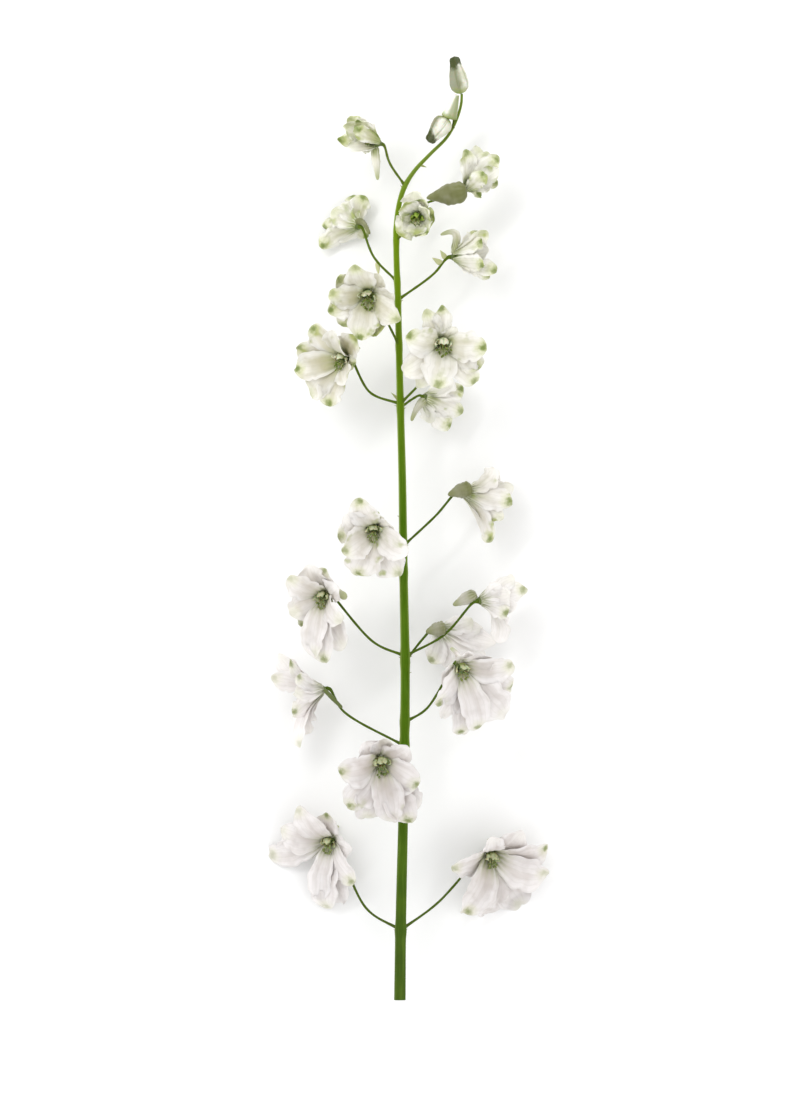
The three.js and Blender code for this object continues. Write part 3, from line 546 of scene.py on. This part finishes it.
def arc_to(tip, base, axes):
    """The clock angle, length and last slope of a blade whose tip is a place in space. The chord of an arc
    leans by the mean of its first and last slope, and is shorter than the arc by sine of x over x, x being
    half its turn."""
    axis, twelve, three = axes
    way = tip - base
    out = np.hypot(way @ twelve, way @ three) - SIDE_ROOT
    up = way @ axis - SEPAL_START
    half_turn = np.arctan2(out, up) - np.radians(SIDE_SLOPE)
    length = np.hypot(out, up) / np.sinc(half_turn / np.pi)
    return np.degrees(np.arctan2(way @ three, way @ twelve)), length, SIDE_SLOPE + 2 * np.degrees(half_turn)


def turn_up(axes, clock, slope):
    """The twist that brings a blade's face most of the way round to the sky: its tangent is minus the height
    of the blade's sideways direction over that of its face, at the mean slope."""
    axis, outward = axes[0], at_clock(axes, clock)
    lean = np.radians(sum(slope) / 2)
    face = axis * np.sin(lean) - outward * np.cos(lean)
    full = np.degrees(np.arctan(-np.cross(axis, outward)[2] / face[2]))
    return MOST_TWIST * np.tanh(full / MOST_TWIST)


def two_faced(front, back):
    """Rings that go out along the front face and back along the other, without its two edges."""
    return np.concatenate([front, back[:, -2:0:-1]], axis=1)


def blade(base, axes, clock, length, width, slope, root, height, key, fold, twist=0, rounding=0.5, ripple=1.0,
          pleat=0.25, thickness=SEPAL_THICKNESS, rows=34, columns=19, **values):
    """A closed thin blade. Its midrib is an arc from slope[0] to slope[1] off the axis. Its half width grows
    from the claw as the 1.3th power of a sine and falls past the widest place with the 2.4th power of the
    rest; an ellipse rounds the tip; two sines of 8 and 7 per cent make the edges ragged, and the eighth power
    of a third nicks them by 22. The sides rise by fold degrees at the edge, and the blade turns by twist
    towards its tip. Pleats follow a cosine of the distance across, a groove the midrib near the root; two
    slanting sines crumple the outer part, the edges wave as two sines of the distance along, and the tip
    curls with the square of the last third. The faces lie half the thickness off, which falls to nothing at
    the edges as a circle does and is up to 1.9 times as much at the root. The value callus is the distance
    from a place under the tip, in radii of the green spot there."""
    axis, outward = axes[0], at_clock(axes, clock)
    sideways = np.cross(axis, outward)
    share = (1 - (1 - np.linspace(0, 1, rows)) ** 1.5)[:, None]
    across = np.sin(np.linspace(-1, 1, columns) * np.pi / 2)[None, :]
    side, chance = np.sign(across), 6.28 * draw(key + 0.2)
    end_cap = 1 - np.clip((share - 0.72) / 0.28, 0, 1) ** 2
    along = share - 0.08 * share**3 * across**2 * end_cap
    start, end = np.radians(slope)
    angle = start + (end - start) * along
    out = root + length * (np.cos(start) - np.cos(angle)) / (end - start)
    up = height + length * (np.sin(angle) - np.sin(start)) / (end - start)

    grown = CLAW + (1 - CLAW) * np.sin(np.pi / 2 * np.minimum(share / WIDEST, 1)) ** 1.3
    past = np.clip((share - WIDEST) / (1 - WIDEST), 0, 1)
    half = width / 2 * grown * (1 - (1 - BLUNT) * past**2.4) * end_cap**rounding
    half = half * (1 + share * (0.08 * np.sin(9 * share + chance + 2 * side)
                                + 0.07 * np.sin(22 * share + 2 * chance + side)))
    half = half * (1 - 0.22 * share * np.clip(np.sin(12 * share + 3 * chance + 2 * side), 0, 1) ** 8)

    tilt, lean = np.radians(fold) * np.abs(across) * along, np.radians(twist) * along
    edge = ripple * along * np.abs(across) ** 2.5
    wave = edge * np.sin(9 * along + 5 * draw(key) + 2 * side)
    wave = wave + 0.45 * edge * np.sin(23 * along + 9 * draw(key + 0.4) + 3 * side)
    folds = pleat * np.sin(np.pi * share) * np.cos(np.pi * across * 3.5 + 3 * spread(key + 0.6, 1))
    folds = folds - 0.4 * np.exp(-((across / 0.2) ** 2)) * (1 - share) * np.sqrt(share)
    crumple = np.sin(7 * share + 2.5 * across + chance) + 0.6 * np.sin(13 * share - 4 * across + 2 * chance)
    folds = folds + 0.4 * share * end_cap * crumple
    curl = spread(key + 0.9, 1.5) * np.clip((share - 0.65) / 0.35, 0, 1) ** 2

    aside = across * half * np.cos(tilt)
    rise = np.abs(across) * half * np.sin(tilt) + wave + folds + curl
    inward = axis * np.sin(angle)[..., None] - outward * np.cos(angle)[..., None]
    point = base + axis * up[..., None] + outward * out[..., None]
    point = point + sideways * (aside * np.cos(lean) - rise * np.sin(lean))[..., None]
    point = point + inward * (rise * np.cos(lean) + aside * np.sin(lean))[..., None]
    point[..., 2] = np.maximum(point[..., 2], LYING)
    normal = np.cross(np.gradient(point, axis=0), np.gradient(point, axis=1))
    normal[-1] = normal[-2]
    normal = unit(normal + 1e-9)
    half_thick = (thickness / 2 * np.sqrt(1 - across**2) * (1 + 0.9 * (1 - share) ** 3))[..., None]
    grid = two_faced(point + normal * half_thick, point - normal * half_thick)
    grid[..., 2] = np.maximum(grid[..., 2], FILM)
    grid[0], grid[-1] = grid[0].mean(0), grid[-1].mean(0)

    whole = np.ones(point.shape[:2])
    front_is_outer = float(np.einsum("ijk,ijk->", normal, inward) < 0)
    spot = np.hypot((share - 0.94) * length, across * half - spread(key + 0.35, 0.14) * width) / CALLUS_RADIUS
    along, across, callus = (two_faced(value, value) for value in (whole * share, whole * across, spot))
    outer = two_faced(whole * front_is_outer, whole * (1 - front_is_outer))
    return with_values(dict(grid=grid, along=along, across=across, outer=outer, callus=callus),
                       chance=draw(key + 0.3), **values)


def spur(floret, base, axes):
    """The hollow tail: a tube along a parabola that leaves the receptacle sideways and runs back beside the
    pedicel. One with a given start is straight, unless its bend is given too, and full over its first half.
    It tapers with the 0.85th power of the rest, with three low folds and fine wrinkles across, as sines."""
    axis, twelve, _ = axes
    side = unit(np.array(floret["spur_side"], float)) if "spur_side" in floret else twelve
    root_radius = floret.get("spur_root", SPUR_ROOT_RADIUS)
    tip_radius = floret.get("spur_end", SPUR_TIP_RADIUS)
    hidden = base - axis * SPUR_LENGTH * 0.8 + side * SPUR_LENGTH * 0.2
    first = np.array(floret.get("spur_from", base + side * 1.4 + axis * 0.4), float)
    last = np.array(floret.get("spur_tip", hidden), float)
    given = "spur_from" in floret
    bend = (first + last) / 2 if given else base + side * (3 + root_radius) - axis * 2.5
    bend = np.array(floret.get("spur_bend", bend), float)
    share = np.linspace(0, 1, 30)
    path = np.outer((1 - share) ** 2, first) + np.outer(2 * share * (1 - share), bend)
    path = path + np.outer(share**2, last)
    full = 0.5 if given else 0.0
    taper = np.clip((share - full) / (1 - full), 0, 1) ** 0.85
    radius = root_radius + (tip_radius - root_radius) * taper
    radius = radius * np.clip(0.55 + 4 * share, 0, 1) * (1 - 0.5 * np.clip((share - 0.93) / 0.07, 0, 1) ** 2)
    around = 20
    clock = round_a_ring(around)
    wrinkles = 0.06 * np.sin(3 * clock + 4 * share[:, None]) + 0.03 * np.sin(40 * share[:, None] + clock)
    patch = tube(path, radius[:, None] * (1 + wrinkles), around, SPUR_TAG + 0.2 * floret.get("olive", 0.0),
                 chance=draw(base[1]), **NO_SEPAL)
    patch["grid"][..., 2] = np.maximum(patch["grid"][..., 2], FILM)
    return patch


def receptacle(base, axes):
    """The small green cushion that the sepals grow from: its radius bulges as the 0.8th power of a sine."""
    share = np.linspace(0, 1, 12)
    path = base + np.outer(-HUB_HALF_HEIGHT + 0.1 + share * 3.6, axes[0])
    radius = 0.9 + 1.3 * np.sin(np.pi * np.clip(share, 0, 0.97)) ** 0.8
    return tube(path, radius, 20, RECEPTACLE_TAG, chance=0.5, **NO_SEPAL)


sepals = []
for number, floret in enumerate(FLORETS):
    name = f"floret_{number + 1:02d}"
    base, axes = seat(floret)
    layers = LAYERS[floret.get("layers", "open")]
    patches = [receptacle(base, axes), spur(floret, base, axes)]
    for i, (x, y, width, mark, *rise) in enumerate(floret["petals"]):
        key = number * 20 + i
        if rise:
            root, start = SIDE_ROOT, SIDE_SLOPE
            clock, length, end = arc_to(np.array([x, y, base[2] + rise[0]]), base, axes)
            twist = turn_up(axes, clock, (start, end))
        else:
            root, start, end = layers[i % len(layers)]
            twist = spread(key + 0.7, 9)
            width *= floret.get("full", FULLNESS)
            tip = np.array([x, y]) - axes[0][:2] * TIP_LEAN
            clock, length = reach_to(tip, base, axes, root, start, end)
            while length > LONGEST_SEPAL and end < MOST_REFLEXED:
                end += 6
                clock, length = reach_to(tip, base, axes, root, start, end)
        patches.append(blade(
            base, axes, clock, length, width, (start, end), root, SEPAL_START, key, twist=twist,
            fold=10 + 12 * draw(key + 0.5), rounding=0.36 + 0.2 * draw(key + 0.8), tag=0.0, mark=mark,
            stain=floret.get("stain", 0.0), grey=floret.get("grey", 0.5)))
    sepals.append(skins(f"{name}_sepals", patches, "petal", f"{name}_petals",
                        "outer", "chance", "mark", "stain", "grey", "callus"))


def silk_white():
    """White, a little lavender below and creamy on the young upper florets, with painted shade: greyer on the
    florets that grey marks, and beige along the midrib, in smudges and in the furrows. Streaked olive in the
    throat, darkest at its root where that is partly painted shade, and on the outer midrib, olive from the
    rim in where stained, and with a soft olive spot under the tip. Fine veins stand up a hair's breadth."""
    brush, coat = finish_of("silk_white", Subsurface_Weight=0.3, Subsurface_Scale=0.0015,
                            Specular_IOR_Level=0.3, Subsurface_Radius=(1, 0.95, 0.9), Sheen_Weight=0.1)
    along, across, tag, chance = brush.attributes("along", "across", "tag", "chance")
    outer, mark, stain, grey, callus = brush.attributes("outer", "mark", "stain", "grey", "callus")
    young = brush.height().rise(-0.12, 0.16)
    clouds, smudges = brush.noise(110, 2), brush.noise(160, 2)
    mottle, grain = brush.noise(420), brush.noise(1500)
    middle = 1 - abs(across)
    # beige is the colour of the painted shade
    beige = young.blend((0.5, 0.447, 0.415), (0.48, 0.455, 0.29))
    shade = middle.rise(0.0, 0.7) * along.rise(0.95, 0.3)
    furrows = (across * 7 + clouds * 4 + chance * 9).sine().rise(-0.1, 1.0)
    furrows = furrows * along.rise(0.05, 0.3) * along.rise(1.0, 0.6)
    veins = (across * 21 + clouds * 3).sine().rise(0.55, 1.0) * along.rise(0.03, 0.3) * along.rise(1.0, 0.8)
    streaks = (across * 14 + clouds * 5 + chance * 9).sine().rise(-0.8, 0.9)
    flush = along.rise(0.42 + grey * 0.1, 0.05) * (0.3 + streaks * 0.4) + along.rise(0.62, 0.1) * young * 0.2
    # the dark olive root in the throat: partly the claws' own green, partly painted shade in the deep throat
    deep = along.rise(0.36, 0.1) * (streaks * 0.4 + smudges.rise(0.4, 0.6) * 0.4) * (0.85 + young * 0.15)
    green_part = (smudges * 0.5 + clouds * 0.5).rise(0.6 - stain * 0.14, 0.72 - stain * 0.14)
    green_part = green_part * stain.rise(0.0, 0.3)
    rim = 1 - (1 - abs(across).rise(0.35, 0.95)) * (1 - along.rise(0.6, 0.95))
    around = callus + (mottle - 0.5) * 1.8
    colour = washed(
        young.blend((0.915, 0.874, 0.862), (0.93, 0.91, 0.85)),
        # painted shade: the floret greyer as far as grey says, then beige along the midrib, in smudges and in
        # the furrows
        (grey * 0.8, young.blend((0.75, 0.712, 0.702), (0.76, 0.74, 0.67))),
        (shade * (0.25 + chance * 0.6) * (0.5 + clouds) * (0.3 + grey * 1.2), beige),
        (smudges.rise(0.42, 0.74) * (0.2 + chance * 0.35) * (0.3 + grey * 1.2), beige),
        (furrows * (0.16 + grey * 0.2), beige),
        (veins * 0.12, (0.42, 0.4, 0.33)),
        # the throat and its streaks, darkest at the root where it is partly painted shade, the outer midrib,
        # stains
        (flush, young.blend((0.38, 0.405, 0.17), (0.36, 0.4, 0.13))),
        (deep, stain.blend((0.12, 0.15, 0.035), (0.1, 0.18, 0.015))),
        (outer * middle.rise(0.65, 1.0) * along.rise(0.85, 0.1) * (0.25 + young * 0.25), (0.36, 0.39, 0.16)),
        (green_part * (0.2 + rim * 0.65), (0.27, 0.33, 0.05)),
        # the spot under the tip
        (around.rise(2.9, 0.4) * mark.rise(0.1, 0.8) * (0.6 + young * 0.4) * 0.62,
         young.blend((0.5, 0.52, 0.22), (0.4, 0.45, 0.1))),
        (around.rise(1.35, 0.1) * mark.rise(0.35, 1.0) * 0.92,
         young.blend((0.17, 0.215, 0.055), (0.13, 0.19, 0.02))),
        # spurs and receptacle
        (tag.rise(0.4, 0.5) * along.rise(0.5, 0.95) * 0.8, (0.36, 0.4, 0.15)),
        (tag.rise(0.55, 0.7) * (0.85 + clouds.rise(0.35, 0.7) * 0.15), (0.148, 0.157, 0.050)),
        (tag.rise(0.8, 1.0), (0.1, 0.14, 0.03)),
    )
    return coat(colour, 0.5 + grain * 0.15, veins * 0.00003 + clouds * 0.0005 + grain * 0.00002)


dress(sepals, silk_white())


# ---------- the eyes: inner petals and stamens ----------
# In the mouth of every floret stand four small petals, the two upper ones upright, the two lower ones spread,
# and below them a bundle of stamens: pale threads with dark olive anthers that nod away from the spur.

# The size of an eye seen from the side or half open.
SIDE_EYE = 0.7
# How many stamens there are, and the angle from one to the next.
STAMENS, GOLDEN_ANGLE = 16, 137.5
# Two petals beside twelve o'clock that arch over the eye, and a shorter one on each side: clock angle, slope
# at the root and at the tip, length and width.
INNER_PETALS = [(-26, (40, -36), 7.2, 3.8), (20, (34, -20), 7.6, 3.4), (-88, (52, 6), 6.0, 3.6),
                (96, (48, 12), 5.6, 3.4)]
# The tags of this piece's parts; a thread's is 0.
INNER_PETAL_TAG, ANTHER_TAG = 0.4, 1.0


def stamens(base, axes, size, key, stain):
    """Threads that rise below the axis and bend outwards and to six o'clock with the square of the distance,
    each a tapering tube with an egg-shaped anther at its end."""
    axis, twelve, _ = axes
    made = []
    for i in range(STAMENS):
        own = dict(chance=draw(key + i), stain=stain)
        around = at_clock(axes, i * GOLDEN_ANGLE)
        reach = (0.5 + 1.5 * draw(key + i * 0.37)) * size
        tall = (3.6 + 2.6 * draw(key + i * 0.53)) * size
        share = np.linspace(0, 1, 9)[:, None]
        path = base + axis * (HUB_HALF_HEIGHT - 0.3 + tall * share) + around * (0.7 * size + reach * share**2)
        path = path - twelve * (0.6 + share**2 * 1.4) * size
        made.append(tube(path, 0.17 - 0.06 * share[:, 0], 6, **own))
        heading = unit(path[-1] - path[-2])
        share = np.linspace(0, 1, 8)[:, None]
        egg = path[-1] + heading * (share - 0.35) * 1.3 * size
        girth = 0.42 * size * np.sqrt(np.clip(1 - (2 * share[:, 0] - 1) ** 2, 0.02, 1))
        made.append(tube(egg, girth, 8, ANTHER_TAG, **own))
    return made


def inner_petals(base, axes, size, key, stain):
    """The four small petals, each a broad blade up to 20 degrees off its place."""
    foot = base + axes[1] * 0.6 * size
    return [blade(foot, axes, clock + spread(key + i, 20), length * size, width * size, slope, 1.1 * size,
                  HUB_HALF_HEIGHT - 1.3, key + i, fold=30, ripple=0.9, pleat=0.12, thickness=0.25, rows=18,
                  columns=11, tag=INNER_PETAL_TAG, stain=stain)
            for i, (clock, slope, length, width) in enumerate(INNER_PETALS)]


eyes = []
for number, floret in enumerate(FLORETS):
    seen_in_face = len(floret["petals"][0]) == 4 and "layers" not in floret
    size = floret.get("eye", 1.0 if seen_in_face else SIDE_EYE)
    about = (*seat(floret), size, number * 31 + 7, floret.get("stain", 0.0))
    name = f"floret_{number + 1:02d}"
    patches = inner_petals(*about) + stamens(*about)
    eyes.append(skins(f"{name}_inner_petals", patches, "eye", f"{name}_eye", "chance", "stain"))


def throat_green():
    """Pale olive small petals, whiter on the upper florets and fresh green on the young ones, darker at foot
    and edge; pale threads; anthers of dark olive, dusted."""
    brush, coat = finish_of("throat_green", Subsurface_Weight=0.2, Subsurface_Scale=0.001,
                            Specular_IOR_Level=0.3)
    along, across, tag, chance, stain = brush.attributes("along", "across", "tag", "chance", "stain")
    young, clouds, dust = brush.height().rise(-0.05, 0.08), brush.noise(600, 2), brush.noise(2500)
    foot = stain.rise(0.3, 1.0).blend((0.24, 0.29, 0.08), (0.12, 0.24, 0.008))
    petal = young.blend((0.5, 0.53, 0.33), (0.66, 0.67, 0.5))
    petal = stain.rise(0.6, 1.0).blend(petal, (0.3, 0.42, 0.06))
    dark = young.blend((0.08, 0.11, 0.025), (0.05, 0.08, 0.01))
    dusty = young.blend((0.27, 0.33, 0.1), (0.22, 0.29, 0.05))
    colour = washed(
        foot,
        ((along + clouds * 0.6 - 0.3 - stain * 0.25).rise(0.2, 0.85), petal),
        (abs(across).rise(0.6, 1.0) * 0.5, (0.3, 0.36, 0.09)),
        # threads, then anthers
        (tag.rise(0.3, 0.1), along.rise(0.3, 1.0).blend((0.33, 0.4, 0.14), (0.55, 0.6, 0.34))),
        (tag.rise(0.7, 0.9), (chance * 0.7 + dust.rise(0.4, 0.7) * 0.3).blend(dark, dusty)),
    )
    return coat(colour, 0.55 + dust * 0.2, dust * 0.00004)


dress(eyes, throat_green())


# ---------- the buds ----------
# Two closed buds: one hangs from a bent pedicel and points back down the spike with its spur in the air, and
# one ends the stem. Five overlapping sepals, furrowed where they meet, are white below and olive at the tip.

TIP_BUD = dict(base=(30.4, 452.6, STEM_HEIGHT), faces=(-0.17, 0.985, 0), length=19.3, radius=5.0, dark=-1.0)
# How far a bud's foot stands off the end of its stalk.
CLEARANCE = 0.3
# A bud's girth along its axis, as a share of its widest: [share of the length, girth].
BUD_GIRTH = np.array([[0, 0], [0.04, 0.5], [0.14, 0.88], [0.28, 1], [0.5, 0.88], [0.68, 0.68], [0.82, 0.56],
                      [0.9, 0.55], [0.96, 0.44], [1, 0]])
# The radii of the side bud's spur, and its tag; a bud's is 0.
BUD_SPUR_ROOT, BUD_SPUR_END, BUD_SPUR_TAG = 4.0, 1.2, 0.5


def bud(plant):
    """A turned body, as wide as BUD_GIRTH says, leaning aside with the square of the distance. Five furrows,
    each an eighth power of a cosine, wind round it by four tenths of a radian, and a sine of 6 per cent makes
    a lip beside each, where a sepal overlaps the next."""
    base, (axis, twelve, three) = seat(plant)
    share = np.linspace(0, 1, 44)[:, None] ** 0.9
    clock = round_a_ring(50)[None, :]
    furrow = 1 - 0.15 * np.cos(2.5 * clock + share) ** 8
    lip = 1 + 0.06 * np.sin(5 * clock + 2 * share + 0.8)
    radius = plant["radius"] * np.interp(share, *BUD_GIRTH.T) * furrow * lip
    place = base + axis * (CLEARANCE + share * plant["length"])[..., None]
    place = place - three * (1.2 * share**2)[..., None]
    grid = place + three * (np.cos(clock) * radius)[..., None] + twelve * (np.sin(clock) * radius)[..., None]
    grid[0], grid[-1] = grid[0].mean(0), grid[-1].mean(0)
    whole = np.ones(grid.shape[:2])
    return dict(grid=grid, along=whole * share, across=whole * np.cos(2.5 * clock + share), tag=whole * 0,
                flank=whole * np.cos(clock - plant["dark"]))


root = np.array(SIDE_BUD["base"]) + [0.6, 0.5, 0]
share = np.linspace(0, 1, 18)
path = root + np.outer(share, np.array(SIDE_BUD["spur_tip"]) - root)
tail = tube(path, BUD_SPUR_ROOT + (BUD_SPUR_END - BUD_SPUR_ROOT) * share**1.1, 18, BUD_SPUR_TAG)
tail = with_values(tail, flank=tail["across"])
buds = [skins("side_bud", [bud(SIDE_BUD), tail], "bud", "bud_side", "flank"),
        skins("tip_bud", [bud(TIP_BUD)], "bud", "bud_top", "flank")]


def bud_white():
    """Greenish white on one flank and olive grey on the other, darker in the furrows and with a dark olive
    tip; the spur is pale with an olive stripe."""
    brush, coat = finish_of("bud_white", Subsurface_Weight=0.2, Subsurface_Scale=0.001,
                            Specular_IOR_Level=0.15)
    along, across, tag, flank = brush.attributes("along", "across", "tag", "flank")
    clouds, mottle = brush.noise(160), brush.noise(500)
    bud_only = tag.rise(0.4, 0.1)
    furrow = abs(across).rise(0.88, 1.0)
    dusk = (flank + clouds * 0.8 - 0.4).rise(0.1, 0.65) * bud_only
    tip = (along + mottle * 0.3 - 0.15 + flank * 0.06).rise(0.64, 0.8) * bud_only
    colour = washed(
        clouds.rise(0.35, 0.75).blend((0.84, 0.83, 0.77), (0.6, 0.6, 0.45)),
        (furrow * 0.5, (0.26, 0.29, 0.11)),
        (dusk * 0.8, (0.155, 0.17, 0.075)),
        (tip * 0.95, (0.048, 0.062, 0.012)),
        # the foot, and the spur's stripe
        ((along + mottle * 0.2 - 0.1).rise(0.22, 0.0), (0.3, 0.36, 0.11)),
        ((1 - bud_only) * flank.rise(0.1, 0.7) * 0.75, (0.24, 0.29, 0.1)),
    )
    return coat(colour, 0.45 + clouds * 0.2, clouds * 0.0004 + furrow * -0.0001)


dress(buds, bud_white())


# ---------- the table, the light and the camera ----------
# A plain white table, a broad soft light from the upper left, a weaker one from the lower right and light
# from all round. The camera looks straight down, as far up as makes the spike fill the frame.

# From the table's middle to its edge, in metres.
TABLE_REACH = 8
# Where the camera stands: [x, y], and how far above the stem.
CAMERA_OVER, CAMERA_ABOVE_STEM = (-0.5, 226.5), 4557

corners = [(TABLE_REACH * x, TABLE_REACH * y, 0) for x, y in [(-1, -1), (1, -1), (1, 1), (-1, 1)]]
floor_mesh = bpy.data.meshes.new("table")
floor_mesh.from_pydata(corners, [], [(0, 1, 2, 3)])
floor = put("table", floor_mesh)
brush, coat = finish_of("table_white", Specular_IOR_Level=0.1)
even = brush.noise(3)
floor_mesh.materials.append(
    coat(even.blend((0.92, 0.92, 0.92), (0.93, 0.93, 0.93)), 0.8 + even * 0.05, even * 0.0))


def soft_light(name, place, size, power):
    """A square light of one size, in metres and watts, that faces the middle of the spike."""
    light = bpy.data.lights.new(name, "AREA")
    light.size, light.energy = size, power
    lamp = put(name, light)
    lamp.location = place
    lamp.visible_camera = False
    direction = -np.array(place)
    turn = np.arctan2(direction[0], -direction[1])
    lamp.rotation_euler = (np.arccos(-direction[2] / np.linalg.norm(direction)), 0, turn)


soft_light("key_light", (-0.9, 0.9, 1.5), 1.2, 48)
soft_light("fill_light", (0.9, -0.7, 1.3), 1.4, 13)
world = bpy.data.worlds.new("room")
bpy.context.scene.world = world
world.use_nodes = True
sky = world.node_tree.nodes["Background"].inputs
sky["Color"].default_value = (1, 1, 1, 1)
sky["Strength"].default_value = 1.05
bpy.context.scene.view_settings.view_transform = "Standard"

lens = bpy.data.cameras.new("camera")
lens.lens, lens.sensor_width = 300, 36
camera = put("camera", lens)
camera.location = (np.array([*CAMERA_OVER, STEM_HEIGHT + CAMERA_ABOVE_STEM]) - FOOTPRINT_MIDDLE) * MM
bpy.context.scene.camera = camera
